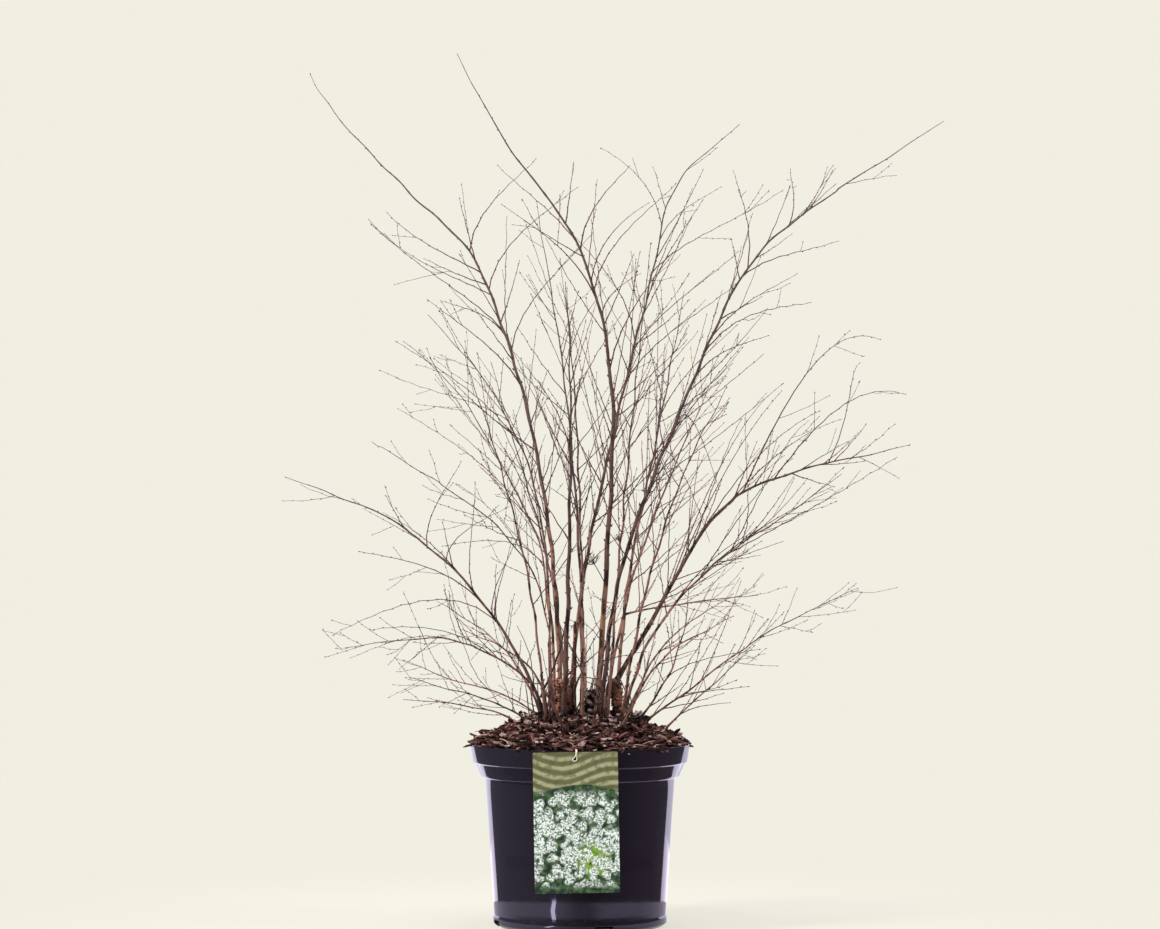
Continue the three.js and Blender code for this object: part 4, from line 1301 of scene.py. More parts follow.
def place_buds(gathered, line, radii, roll, spacing=BUD_SPACING, start=0.0, size=1.0):
    """Gather buds on alternate sides of a line, and one at its tip."""
    path = Path(line)
    distances = np.arange(start + spacing * (0.5 + roll()), path.length, spacing)
    at_side = np.append(np.ones(len(distances)), 0)
    distances = np.append(distances, path.length)
    places = path.at(distances)
    forward = places - path.at(distances - BUD_REACH)
    forward /= norm(forward, axis=1, keepdims=True) + TINY
    thick = np.interp(distances, path.reached, radii)
    turns = np.arange(len(places)) * BUD_TURN + roll() * LOOSE_TURN
    across, over = turned_frames(forward, turns)
    lean = (BUD_LEAN * at_side)[:, None]
    way = forward * np.cos(lean) + across * np.sin(lean)
    spots = places + across * (thick * at_side)[:, None]
    side = unit_rows(np.cross(over, way))
    frames = np.stack([side, np.cross(way, side), way], -1)
    sizes = [size * between(BUD_SIZES, roll()) for _ in places]
    shades = [roll() for _ in places]
    gathered.append((spots, frames, sizes, shades))


def bud_pattern():
    """One bud, standing on its root: a slim scale of eight faces."""
    bpy.ops.mesh.primitive_cone_add(
        vertices=4, radius1=BUD_RADIUS * MM, depth=BUD_LENGTH * MM, end_fill_type="TRIFAN",
        location=(0, 0, (BUD_LENGTH / 2 + BUD_LIFT) * MM))
    bud = fresh("bud")
    bpy.ops.transform.resize(value=(1, BUD_FLATNESS, 1))
    bpy.ops.mesh.select_all(action="DESELECT")
    edit_mode(False)
    for vertex in bud.data.vertices:
        vertex.select = vertex.co.xy.length < TINY and vertex.co.z < 0
    edit_mode()
    bpy.ops.transform.translate(value=(0, 0, -BUD_ROOT * MM))
    return pattern_of(shaped(bud))


def draw_stems(roll):
    """The drawn line of every stem, before the finer shoots grow."""
    for name, plan, stem in sprays:
        rises_from_cane = name == plan["name"] and "on" in plan
        sunk = SUNK_IN_CANE if rises_from_cane else SUNK_FOOT
        girth = plan["girth"] * plan.get("slim", 1)
        stem.line, stem.line_radii = stem_line(paths[plan["name"]], girth, sunk, roll)


class TwigColour:
    """The twigs and buds of the sprays that share a colour."""

    def __init__(self):
        self.tubes = {}  # by number of points and of sides
        self.buds = []
        self.sprays = []

    def add_shoot(self, limb, roll, slim):
        draw_shoot(limb, roll, slim)
        sides = 4 if limb.line_radii[0] > SQUARE_TWIG else 3
        group = self.tubes.setdefault((len(limb.line), sides), [])
        group.append((limb.line, limb.line_radii, roll()))
        place_buds(self.buds, limb.line, limb.line_radii, roll)

    def add_stem(self, stem, roll):
        """Buds on its young wood, and spurs where buds have broken from the old."""
        thick = np.count_nonzero(stem.line_radii > OLD_WOOD)
        bare = Path(stem.line).reached[thick] if thick else 0
        place_buds(self.buds, stem.line, stem.line_radii, roll, OLD_BUD_SPACING, bare)
        if thick > FEWEST_RINGS:
            place_buds(self.buds, stem.line[:thick], stem.line_radii[:thick], roll, SPUR_SPACING,
                       2 * SUNK_FOOT, SPUR_SIZE)

    def twig_heap(self):
        heap = Heap()
        for (_, sides), group in self.tubes.items():
            lines, radii, shades = zip(*group)
            add_tubes(heap, lines, radii, shades, sides)
        return heap

    def bud_heap(self):
        heap = Heap()
        places, frames, sizes, shades = (np.concatenate(part) for part in zip(*self.buds))
        scatter(heap, BUD, places, frames, sizes, shades)
        return heap


BUD = bud_pattern()
fine_roll = np.random.default_rng(FINE_SEED).random
draw_stems(fine_roll)
finer = [grow_finer(space, stem, limbs, plan, FINE_SEED + 1 + i)
         for i, ((_, plan, stem), limbs) in enumerate(zip(sprays, coarse))]

twig_colours = {shade: TwigColour() for shade in TWIG_COLOURS}
for i, ((name, plan, stem), limbs, fine) in enumerate(zip(sprays, coarse, finer)):
    twigs = twig_colours[SPRAY_COLOURS[i % len(SPRAY_COLOURS)]]
    twigs.sprays.append(name)
    for limb in limbs + fine:
        twigs.add_shoot(limb, fine_roll, plan.get("slim", 1))
    twigs.add_stem(stem, fine_roll)

for shade, (root, tip, pale) in TWIG_COLOURS.items():
    twigs = twig_colours[shade]
    heap_piece(shade + "_twigs", twigs.twig_heap(), twig_finish(shade + "_twig_bark", root, tip),
               twigs.sprays)
    heap_piece(shade + "_buds", twigs.bud_heap(), bud_finish(shade + "_bud_scales", root, pale))

# ------ canes

RUSSET_BARK = bark_finish("russet_bark", colour(22, 11, 10), colour(92, 57, 50),
                          colour(154, 115, 101), 0.6, colour(84, 71, 65))
UMBER_BARK = bark_finish("umber_bark", colour(20, 12, 12), colour(68, 46, 43),
                         colour(116, 88, 79), 0.5, colour(90, 79, 73))
OCHRE_BARK = bark_finish("ochre_bark", colour(30, 14, 11), colour(106, 70, 50),
                         colour(152, 114, 90), 0.65, colour(90, 78, 71),
                         (colour(74, 42, 36), colour(116, 84, 74)))
CANE_BARKS = {name: OCHRE_BARK for name in ("centre_leader", "left_inner")}
CANE_BARKS |= {name: UMBER_BARK for name in ("right_leader", "left_low_cane", "back_upright",
                                             "back_left_cane", "right_low_cane", "forked_cane")}
RELIEF = 0.9  # millimetres, on the thickest limb
LUMP_SHARE = 1.3  # the lumps' height, of the ribs'
FULL_RELIEF_RADIUS = 5  # a thinner limb has less relief
RELIEF_BEND = 1.2
WELD = 0.01  # points this near to each other become one
ribs = grain("ribs", "CLOUDS", 3.2, along=9)
lumps = grain("lumps", "CLOUDS", 11, along=2.2, depth=1)


def bough(name, line, radii):
    """A limb weighted for relief by its thickness: a bevelled curve turned to a mesh, its ends welded
    shut.
    """
    curve = bpy.data.curves.new(name, "CURVE")
    curve.dimensions = "3D"
    curve.bevel_depth = 1
    curve.bevel_resolution = BOUGH_ROUNDNESS
    curve.use_fill_caps = True
    spline = curve.splines.new("POLY")
    spline.points.add(len(line) - 1)
    spline.points.foreach_set("co", np.column_stack([line * MM, np.ones(len(line))]).ravel())
    spline.points.foreach_set("radius", radii * MM)
    only(placed(name, curve))
    bpy.ops.object.convert(target="MESH")
    limb = fresh(name)
    bpy.ops.mesh.remove_doubles(threshold=WELD * MM)
    shaped(limb)
    bpy.ops.object.shade_smooth()
    thick = limb.vertex_groups.new(name="thick")
    for ring, radius in enumerate(radii):
        first = ring * BOUGH_SIDES
        share = min(1, (radius / FULL_RELIEF_RADIUS) ** RELIEF_BEND)
        thick.add(list(range(first, first + BOUGH_SIDES)), share, "REPLACE")
    return limb


for name, plan, stem in sprays:
    limb = bough(plan["name"] + "_bark", stem.line, stem.line_radii)
    roughen(limb, lumps, RELIEF * LUMP_SHARE, "thick")
    roughen(limb, ribs, RELIEF, "thick")
    is_cane = name != plan["name"]
    finished(limb, CANE_BARKS.get(plan["name"], RUSSET_BARK), [plan["name"]] if is_cane else [])

# ------ old wood

OLD_BARK = bark_finish("old_bark", colour(46, 23, 20), colour(116, 70, 55),
                       colour(178, 136, 114), 0.8)
# A darker copy of the old bark, as painted shade: the right old wood and its arch are drawn darker, as
# if shaded by the canes before them.
SHADED_OLD_BARK = bark_finish("shaded_old_bark", colour(32, 16, 14), colour(80, 47, 39),
                        colour(136, 100, 86), 0.7)
CUT_BARK = bark_finish("cut_bark", colour(26, 13, 12), colour(58, 32, 29),
                       colour(96, 62, 54), 0.4)
STUMP_BARKS = {"left_old_wood": OLD_BARK, "right_old_wood": SHADED_OLD_BARK, "pruned_stub": CUT_BARK}
STUMP_RING = 3  # length between two rings
FEWEST_STUMP_RINGS = 8
FULLY_KNOBBLY = 6  # radius; a slimmer stump is smoother
ROUNDING = [1, 0.97, 0.86, 0.6]  # share of a stump's radius left on its last rings
KNOB_RELIEF = 2.2
CRAG_RELIEF = 2.4
ARCH = [(48, -9, 298), (46, -12, 307), (41, -15, 311), (36, -15, 306), (36, -13, 296),
        (40, -11, 288)]
ARCH_RADIUS = 2.5
ARCH_RINGS = 22
ARCH_KNOBBLY = 0.5  # share of the full relief
knobs = grain("knobs", "VORONOI", 8, along=1.2)
crags = grain("crags", "CLOUDS", 4.5, along=3)


def old_limb(name, line, radii, knobbly, bark, nodes=()):
    """A rough old limb, rounded off at its end."""
    radii = np.array(radii, float)
    radii[-len(ROUNDING):] *= ROUNDING
    limb = bough(name, line, radii)
    modify(limb, "SUBSURF", levels=2, render_levels=2)
    roughen(limb, knobs, KNOB_RELIEF * knobbly)
    roughen(limb, crags, CRAG_RELIEF * knobbly)
    finished(limb, bark, nodes)


def old_stump(name, stump):
    """A stump from inside the mulch to its rounded top."""
    path = stump.path
    count = max(FEWEST_STUMP_RINGS, int(path.length / STUMP_RING))
    distances = np.linspace(0, path.length, count)
    radii = stump.radius_at(distances)
    line = np.vstack([path.at(0) - UP * SUNK_FOOT, path.at(distances)])
    knobbly = min(1, radii[0] / FULLY_KNOBBLY)
    old_limb(name + "_bark", line, [radii[0], *radii], knobbly, STUMP_BARKS[name], [name])


def old_arch():
    """A short old shoot, bent over beside the right old wood."""
    path = smooth_path(ARCH)
    line = path.at(np.linspace(0, path.length, ARCH_RINGS))
    # Its bark is the darker copy of the old bark, painted shade.
    old_limb("right_old_wood_arch", line, np.full(ARCH_RINGS, ARCH_RADIUS), ARCH_KNOBBLY,
             SHADED_OLD_BARK)


for name, stump in stumps.items():
    old_stump(name, stump)
old_arch()

# ------ bark flakes

BASE_SEED = 77
ANY_TURN = 6.3  # radians, a whole turn
STUMP_FLAKES = {"left_old_wood": 130, "right_old_wood": 60, "pruned_stub": 26}
STUMP_FLAKE_REACH = np.array([0.02, 0.97])  # shares of the stump's height
STUMP_FLAKE_SIZES = np.array([0.5, 1.15])
STUMP_FLAKE_LEANS = [0.22, 0.3]  # radians, outwards and sideways
STUMP_FLAKE_LIFT = 0.3  # off the bark
CANE_FLAKES = 9  # on each cane that is thick enough
FLAKING_GIRTH = 4.5
CANE_FLAKE_REACH = [SUNK_FOOT, SUNK_FOOT + 95]
CANE_FLAKE_SIZES = [0.35, 0.75]
CANE_FLAKE_LEANS = [0.16, 0.2]
CANE_FLAKE_LIFT = 0.1


def bent_plate(name, length, width, thickness, bend, cuts):
    """A thin plate of a few faces, curled over its length by some degrees."""
    bpy.ops.mesh.primitive_grid_add(x_subdivisions=cuts, y_subdivisions=2, size=MM)
    plate = fresh(name)
    bpy.ops.transform.resize(value=(length, width, 1))
    shaped(plate)
    modify(plate, "SOLIDIFY", thickness=thickness * MM, offset=0)
    modify(plate, "SIMPLE_DEFORM", deform_method="BEND", angle=math.radians(bend), deform_axis="Y")
    only(plate)
    edit_mode()
    return pattern_of(shaped(plate))


FLAKE = bent_plate("flake", 8, 3.4, 0.5, 70, 4)
CURL = bent_plate("curl", 15, 6, 0.35, 200, 6)  # a dry leaf


def upright_frames(turns, lifts, rolls):
    """Rotations for plates that stand against a limb: long way up, face outwards."""
    stand = Matrix(((0, 0, 1), (0, 1, 0), (-1, 0, 0)))  # its X goes down, its Z outwards
    return np.array([Matrix.Rotation(turn, 3, "Z") @ Matrix.Rotation(lift, 3, "Y")
                     @ Matrix.Rotation(roll, 3, "X") @ stand
                     for turn, lift, roll in zip(turns, lifts, rolls)])


def ways_out(turns):
    return np.column_stack([np.cos(turns), np.sin(turns), np.zeros(len(turns))])


def places_on(bed, away, turns, lift=0):
    """Points on a heap, or lifted off it, told by how far away and which way they lie."""
    return ways_out(turns) * away[:, None] + UP * (height_on(bed, away) + lift)[:, None]


def add_flakes(heap, path, radius_at, count, reach, lift, leans, sizes, roll):
    """Flakes all round a stretch of a limb, a little off its bark, each leaning by chance."""
    distances = roll.uniform(*reach, count)
    turns = roll.uniform(0, ANY_TURN, count)
    away = radius_at(distances) + lift
    places = path.at(distances) + ways_out(turns) * away[:, None]
    frames = upright_frames(turns, *(roll.normal(0, lean, count) for lean in leans))
    sizes = roll.uniform(*sizes, count)
    scatter(heap, FLAKE, places, frames, sizes, roll.random(count))


def bark_flakes(roll):
    """Loose bark on the stumps and at the feet of the thicker canes."""
    heap = Heap()
    for name, count in STUMP_FLAKES.items():
        stump = stumps[name]
        reach = stump.path.length * STUMP_FLAKE_REACH
        sizes = STUMP_FLAKE_SIZES * min(1, stump.radii[0] / FULLY_KNOBBLY)
        add_flakes(heap, stump.path, stump.radius_at, count, reach, STUMP_FLAKE_LIFT,
                   STUMP_FLAKE_LEANS, sizes, roll)
    for _, plan, stem in sprays:
        if plan["girth"] >= FLAKING_GIRTH:
            path = Path(stem.line)
            add_flakes(heap, path, lambda d: np.interp(d, path.reached, stem.line_radii),
                       CANE_FLAKES, CANE_FLAKE_REACH, CANE_FLAKE_LIFT, CANE_FLAKE_LEANS,
                       CANE_FLAKE_SIZES, roll)
    bark = mottled_finish("flake_bark", 500, (0.8, 0.3), (0.1, 0.9), colour(50, 28, 25),
                          colour(154, 104, 88), colour(194, 158, 143))
    heap_piece("bark_flakes", heap, bark)


base_roll = np.random.default_rng(BASE_SEED)
bark_flakes(base_roll)

# ------ stubs, twigs and flower heads

STUB_COUNT = 46
STUB_BED_RADIUS = 66
STUB_DEPTH = 6  # of its foot in the mulch
STUB_LENGTHS = [16, 62]
STUB_RADII = [0.6, 1.7]
STUB_TAPER = np.array([1.15, 1, 0.98, 0.94, 0.9, 0.6])  # share of its radius at each ring
STUB_LEAN = 0.22
STUB_BEND = 0.06  # of its length

# Stray twigs that lean across the canes, each as its first radius and its line.
STRAYS = [
    (1.1, [(-18, -54, 316), (-6, -50, 328), (8, -44, 335), (25, -34, 349)]),
    (1.7, [(-50, -8, 288), (-38, -16, 316), (-25, -24, 350), (-17, -30, 392), (-12, -36, 428)]),
    (1.4, [(62, -24, 258), (66, -26, 276), (60, -27, 284), (56, -28, 302), (47, -24, 318)]),
    (1.0, [(30, 8, 262), (38, -4, 292), (34, -12, 330), (44, -18, 372)]),
    (0.9, [(-40, 30, 262), (-58, 22, 300), (-64, 16, 342), (-80, 14, 378)]),
]
STRAY_RINGS = 14
STRAY_TIP = 0.45  # share of its first radius
STRAY_UNEVENNESS = 0.35
DEAD_SIDES = 6  # of stubs and stray twigs

# Dry flower heads: the foot and the top of the stalk, and the size.
HEADS = [((30, -34, 436), (18, -44, 458), 1.3), ((54, 14, 466), (49, 4, 487), 0.6)]
STALK_SAG = (2, 0, -3)  # of its middle
STALK_RADIUS = 0.6
STALK_RINGS = 5
RAY_COUNT = 26
RAY_LENGTHS = [5, 13]
RAY_LEANS = [0.2, 1.5]  # radians away from the stalk
RAY_LIFT = 3
RAY_RADIUS = 0.28
RAY_RINGS = 4
SEED_SIZE = 0.6  # of a bud


def dead_stubs(roll):
    """Short dead shoots between the canes."""
    lines, radii = [], []
    for _ in range(STUB_COUNT):
        turn = roll.uniform(0, ANY_TURN)
        away = STUB_BED_RADIUS * math.sqrt(roll.random())
        foot = np.array([away * math.cos(turn), away * math.sin(turn),
                         height_on(MOUND, away) - STUB_DEPTH])
        lean = roll.normal(0, STUB_LEAN, 2)
        length = roll.uniform(*STUB_LENGTHS)
        rise = np.array([*lean, 1]) * length
        side = roll.normal(0, STUB_BEND * length, 3)
        handles = (foot, foot + rise / 3 + side, foot + rise * 2 / 3 - side, foot + rise)
        lines.append(bezier(handles, len(STUB_TAPER)))
        radii.append(roll.uniform(*STUB_RADII) * STUB_TAPER)
    bark = twig_finish("dead_stub_bark", colour(52, 34, 31), colour(104, 78, 69))
    tube_piece("dead_stubs", bark, lines, radii, DEAD_SIDES, roll)


def stray_twigs(roll):
    taper = np.linspace(1, STRAY_TIP, STRAY_RINGS)
    paths = [smooth_path(stations) for _, stations in STRAYS]
    lines = [path.at(np.linspace(0, path.length, STRAY_RINGS)) for path in paths]
    lines = [line + roll.normal(0, STRAY_UNEVENNESS, line.shape) for line in lines]
    radii = [radius * taper for radius, _ in STRAYS]
    bark = twig_finish("stray_twig_bark", colour(48, 30, 28), colour(86, 62, 56))
    tube_piece("stray_twigs", bark, lines, radii, DEAD_SIDES, roll)


def flower_head(heap, foot, top, size, roll):
    """A stalk and its rays, with a seed on each."""
    foot, top = np.array(foot), np.array(top)
    middle = (foot + top) / 2 + STALK_SAG
    add_tubes(heap, [bezier((foot, middle, middle, top), STALK_RINGS)],
              [np.full(STALK_RINGS, STALK_RADIUS)], roll.random(1), sides=5)
    along = unit(top - middle)
    leans = roll.uniform(*RAY_LEANS, RAY_COUNT)
    turns = roll.uniform(0, ANY_TURN, RAY_COUNT)
    ways = np.array([heading(along, lean, turn) for lean, turn in zip(leans, turns)])
    rays = ways * roll.uniform(*RAY_LENGTHS, (RAY_COUNT, 1)) * size
    share = np.linspace(0, 1, RAY_RINGS)[:, None]
    lines = [top + ray * share + UP * RAY_LIFT * size * share**2 for ray in rays]
    radii = np.full((RAY_COUNT, RAY_RINGS), RAY_RADIUS)
    add_tubes(heap, lines, radii, roll.random(RAY_COUNT), sides=3)
    frames = tumbled(roll.uniform(0, ANY_TURN, (RAY_COUNT, 3)))
    scatter(heap, BUD, [line[-1] for line in lines], frames, np.full(RAY_COUNT, SEED_SIZE),
            roll.random(RAY_COUNT))


def dry_flower_heads(roll):
    heap = Heap()
    for foot, top, size in HEADS:
        flower_head(heap, foot, top, size, roll)
    bark = twig_finish("dry_flower_bark", colour(58, 38, 36), colour(92, 68, 62))
    heap_piece("dry_flower_heads", heap, bark)


dead_stubs(base_roll)
stray_twigs(base_roll)
dry_flower_heads(base_roll)

# ------ dry leaves

HEAP_LEAVES = 120
HEAP_MIDDLE = (15, -22)
HEAP_SPREAD = (9, 6)
HEAP_FOOT_Z = 266
HEAP_HEIGHT = 30
HEAP_CROWDING = 1.4  # how much denser the heap is low down
HEAP_FOOT_WIDTH = 1.1  # share of its spread; it narrows to a tenth of it at the top
HEAP_SHADE = 0.68  # the heap's leaves are drawn darker than the strewn ones
STREWN_LEAVES = 300
STREWN_RADIUS = 88
STREWN_HEIGHTS = [-7, 4]  # from the mound's surface
LEAF_SIZES = [0.3, 0.8]


def leaf_heap(roll):
    """Dry leaves: a dark heap between the canes, and a few strewn round it."""
    up = roll.random(HEAP_LEAVES) ** HEAP_CROWDING
    aside = [middle + roll.normal(0, spread, HEAP_LEAVES) * width
             for middle, spread, width in zip(HEAP_MIDDLE, HEAP_SPREAD, (HEAP_FOOT_WIDTH - up, 1))]
    heaped = np.column_stack([*aside, HEAP_FOOT_Z + HEAP_HEIGHT * up])
    away = STREWN_RADIUS * np.sqrt(roll.random(STREWN_LEAVES))
    turns = roll.uniform(0, ANY_TURN, STREWN_LEAVES)
    lifts = roll.uniform(*STREWN_HEIGHTS, STREWN_LEAVES)
    places = np.vstack([heaped, places_on(MOUND, away, turns, lifts)])
    count = len(places)
    frames = tumbled(roll.uniform(0, ANY_TURN, (3, count)).T)
    shades = roll.random(count)
    shades[:HEAP_LEAVES] *= HEAP_SHADE
    heap = Heap()
    scatter(heap, CURL, places, frames, roll.uniform(*LEAF_SIZES, count), shades)
    leaf = mottled_finish("dead_leaves", 380, (0.75, 0.5), (0.5, 1.0), colour(34, 22, 21),
                          colour(204, 180, 172))
    heap_piece("leaf_heap", heap, leaf)


leaf_heap(base_roll)

# ------ pot

POT_SIDES = 128
POT_STEP = 16  # the longest stretch between two rings of the pot
AXIS_HOLE = 8  # radius of the disc in the middle of each floor
COLLAR_CURVE = [(-3.4, -1.4), (-1.5, -0.8), (-0.3, 0.5), (0.5, 2.4)]
RIDGE_CURVE = [(-3, -2), (-1.6, -1.6), (-0.4, -0.7), (0.1, 0.8)]
EDGE_ROUNDING = 0.5
SHARP_EDGE = 28  # degrees from which an edge is rounded
SMOOTH_BELOW = 24
WALL_FOOT = 20  # the walls wave a little above this height
WALL_WAVES = 0.5


def inner(radius):
    """The radius of the pot's inner face where its outer one has this radius."""
    return radius - POT_WALL


def rounded(radius, z, curve):
    """A rounded step, as steps out and up from its corner."""
    return [(radius + out, z + up) for out, up in curve]


def pot_outline():
    """From the middle of the underside out, up the outer face, and back down inside."""
    inner_floor = RECESS_HEIGHT + POT_FLOOR
    return [
        (AXIS_HOLE, RECESS_HEIGHT),
        (RECESS_RADIUS - 2, RECESS_HEIGHT),
        (RECESS_RADIUS, 0),
        (UNDERSIDE_RADIUS, 0),
        (LIP_RADIUS, 4),
        (LIP_RADIUS, LIP_HEIGHT),
        (BODY_FOOT_RADIUS, LIP_HEIGHT + 2),
        (BODY_TOP_RADIUS, BODY_TOP_Z),
        *rounded(COLLAR_RADIUS, COLLAR_Z, COLLAR_CURVE),
        *rounded(RIDGE_RADIUS, RIDGE_Z, RIDGE_CURVE),
        (RIM_RADIUS - 0.7, POT_HEIGHT - 0.8),
        (RIM_RADIUS - 1.4, POT_HEIGHT),
        (inner(RIM_RADIUS) + 0.4, POT_HEIGHT),
        (inner(RIDGE_RADIUS), RIDGE_Z + POT_WALL),
        (inner(COLLAR_RADIUS), COLLAR_Z + POT_WALL),
        (inner(BODY_TOP_RADIUS), BODY_TOP_Z + POT_WALL),
        (inner(BODY_FOOT_RADIUS), LIP_HEIGHT),
        (inner(BODY_FOOT_RADIUS), inner_floor),
        (AXIS_HOLE, inner_floor),
    ]


def cut_slot(pot, degrees):
    turn = math.radians(degrees)
    place = Vector((math.cos(turn), math.sin(turn), 0)) * LIP_RADIUS * MM
    bpy.ops.mesh.primitive_cube_add(size=MM, rotation=(0, 0, turn), location=place)
    cutter = fresh("cutter")
    bpy.ops.transform.resize(value=(SLOT_DEPTH, SLOT_WIDTH, 2 * SLOT_HEIGHT), orient_type="LOCAL")
    cut_out(pot, shaped(cutter))


def pot_finish():
    """Glossy black plastic with a lilac sheen, scuffed, and dusty near its foot."""
    finish = Finish("pot_plastic", Specular_IOR_Level=0.85, IOR=1.5,
                    Specular_Tint=colour(240, 235, 255))
    place = finish.place()
    scuffs = finish.noise(finish.stretched(place, 2.5), 60, 4)
    dust = finish.noise(place, 420, 3)
    height = finish.axes(place)[2]
    dusty = dust.ramp(0.55, 0.8) * height.ramp(0.0, 0.05, 0.6, 0.15)
    finish.feed("Base Color", finish.mix(dusty, colour(26, 23, 30), colour(70, 64, 74)))
    finish.feed("Roughness", scuffs.ramp(0.35, 0.7, 0.05, 0.1) + dusty * 0.2)
    finish.bump(scuffs * 0.6 + dust * 0.1, 0.02)
    return finish.material


def nursery_pot():
    """The hollow pot, with its stepped rim, its foot lip and its drain slots."""
    pot = turned("pot_shell", parted(pot_outline(), POT_STEP), POT_SIDES)
    modify(pot, "BEVEL", width=EDGE_ROUNDING * MM, segments=2, limit_method="ANGLE",
           angle_limit=math.radians(SHARP_EDGE))
    for i in range(SLOT_COUNT):
        cut_slot(pot, SLOT_TURN + i * 360 / SLOT_COUNT)
    walls = pot.vertex_groups.new(name="walls")
    walls.add([v.index for v in pot.data.vertices if v.co.z > WALL_FOOT * MM], 1, "REPLACE")
    roughen(pot, grain("waves", "CLOUDS", 80, depth=0), WALL_WAVES, "walls")
    smooth_below(pot, SMOOTH_BELOW)
    finished(pot, pot_finish(), ["pot"])


nursery_pot()

# ------ mulch

SOIL = [(2, 264), (52, 260), (76, 253), (96, 245), (120, 238), (134, 228), (136, 224),
        (inner(RIDGE_RADIUS) - 0.5, 211), (60, 205), (2, 205)]  # radius and height
SOIL_STEP = 7
SOIL_SIDES = 96
SOIL_RELIEF = 5

CHIP_BED = [(137, 231), (120, 241), (96, 248), (76, 256), (52, 263), (0, 267)]
CHIP_SEED = 311
CHIP_COUNT = 2300
CHIP_SIZES = [0.6, 1.25]
CHIP_RISE = (-1.6, 1.8)  # above the bed: the mean, and how far it varies
CHIP_TILT = 0.36
CHIP_RAGGEDNESS = 0.16  # share of its size that a chip's corners are drawn in or out by
LEVEL_FROM = [108, 126]  # radii from which, and at which, chips lie flatter, clear of the rim
LEVEL_SHARE = 0.45
CHIP_SHAPES = {"flat_chip": (11, 6, 2.2), "long_chip": (16, 4.2, 2.6), "crumb_chip": (6, 5, 3.2),
               "broad_chip": (14, 9, 2.4), "splinter_chip": (20, 2.6, 1.8)}
CHIP_COLOURS = {  # share of the chips, their size, and their colours
    "dark_chips": (0.43, 1.05, colour(28, 15, 15), colour(61, 40, 39), colour(100, 77, 75)),
    "red_chips": (0.3, 1.0, colour(70, 39, 38), colour(110, 73, 70), colour(152, 118, 114)),
    "tan_chips": (0.17, 0.82, colour(112, 86, 82), colour(156, 130, 125), colour(190, 168, 163)),
    "pale_chips": (0.15, 0.6, colour(156, 133, 126), colour(190, 169, 162), colour(210, 194, 187)),
}

STRAW_COUNT = 36
STRAW_BED_RADIUS = 132
STRAW_LENGTHS = [18, 52]
STRAW_ARCH = [1, 4]
STRAW_SKEW = 1.4  # the arch's height towards its end, of that towards its start
STRAW_END_LIFT = [-4, 3]
STRAW_RADIUS = 0.55
STRAW_RINGS = 7


def mulch_finish(name, dark, mid, pale):
    """Fibrous bark: each chip in its own shade, with pale torn fibres."""
    finish = Finish(name, Roughness=0.85, Specular_IOR_Level=0.25)
    place = finish.place()
    _, shade = finish.along_and_shade()
    fibres = finish.noise(finish.stretched(place, 0.5), 420, 4)
    patches = finish.noise(place, 130, 2)
    ground = finish.mix((shade * 0.65 + patches * 0.5).ramp(0.3, 0.85), dark, mid)
    finish.feed("Base Color", finish.mix(fibres.ramp(0.52, 0.72) * 0.7, ground, pale))
    finish.bump(fibres, 0.8)
    return finish.material


def chip_pattern(name, size, seed):
    """One splinter of bark: a block whose corners are drawn in and out."""
    bpy.ops.mesh.primitive_cube_add(size=MM)
    chip = fresh(name)
    bpy.ops.mesh.subdivide(number_cuts=1)
    bpy.ops.transform.vertex_random(offset=CHIP_RAGGEDNESS * MM, seed=seed, uniform=1.0)
    bpy.ops.transform.resize(value=size)
    return pattern_of(shaped(chip))


def strewn(count, widest, roll):
    """Places spread evenly over the bed of chips."""
    away = widest * np.sqrt(roll.random(count))
    turns = 2 * np.pi * roll.random(count)
    return places_on(CHIP_BED, away, turns)


def mulch_soil():
    soil = turned("mulch_soil", parted(SOIL, SOIL_STEP), SOIL_SIDES)
    roughen(soil, grain("crumbs", "CLOUDS", 14), SOIL_RELIEF)
    only(soil)
    bpy.ops.object.shade_smooth()
    finished(soil, mulch_finish("soil_crumbs", colour(30, 21, 18), colour(48, 33, 27),
                                colour(70, 48, 40)), ["mulch"])


def bark_chips(name, patterns, share, size, colours, roll):
    """The chips of one colour, in every shape."""
    heap = Heap()
    count = int(CHIP_COUNT * share / len(patterns))
    for pattern in patterns:
        places = strewn(count, CHIP_BED[0][0], roll)
        places[:, 2] += roll.normal(*CHIP_RISE, count)
        tilts = roll.normal(0, CHIP_TILT, (2, count))
        tilts *= np.interp(np.hypot(*places.T[:2]), LEVEL_FROM, [1, LEVEL_SHARE])
        sizes = size * roll.uniform(*CHIP_SIZES, count)
        turns = roll.random(count) * ANY_TURN
        frames = tumbled(zip(tilts[1], tilts[0], turns))
        scatter(heap, pattern, places, frames, sizes, roll.random(count))
    heap_piece(name, heap, mulch_finish(name + "_bark", *colours), smooth=False)


def straws(roll):
    """Dry stalks that lie on the chips."""
    lines = []
    for place in strewn(STRAW_COUNT, STRAW_BED_RADIUS, roll):
        turn = roll.random() * ANY_TURN
        half = ways_out([turn])[0] * roll.uniform(*STRAW_LENGTHS) / 2
        lift = UP * roll.uniform(*STRAW_ARCH)
        end = place + half + UP * roll.uniform(*STRAW_END_LIFT)
        handles = (place - half, place - half / 3 + lift, place + half / 3 + lift * STRAW_SKEW, end)
        lines.append(bezier(handles, STRAW_RINGS))
    radii = np.full((STRAW_COUNT, STRAW_RINGS), STRAW_RADIUS)
    straw = twig_finish("dry_straw", colour(150, 118, 92), colour(188, 160, 134))
    tube_piece("straws", straw, lines, radii, 4, roll)


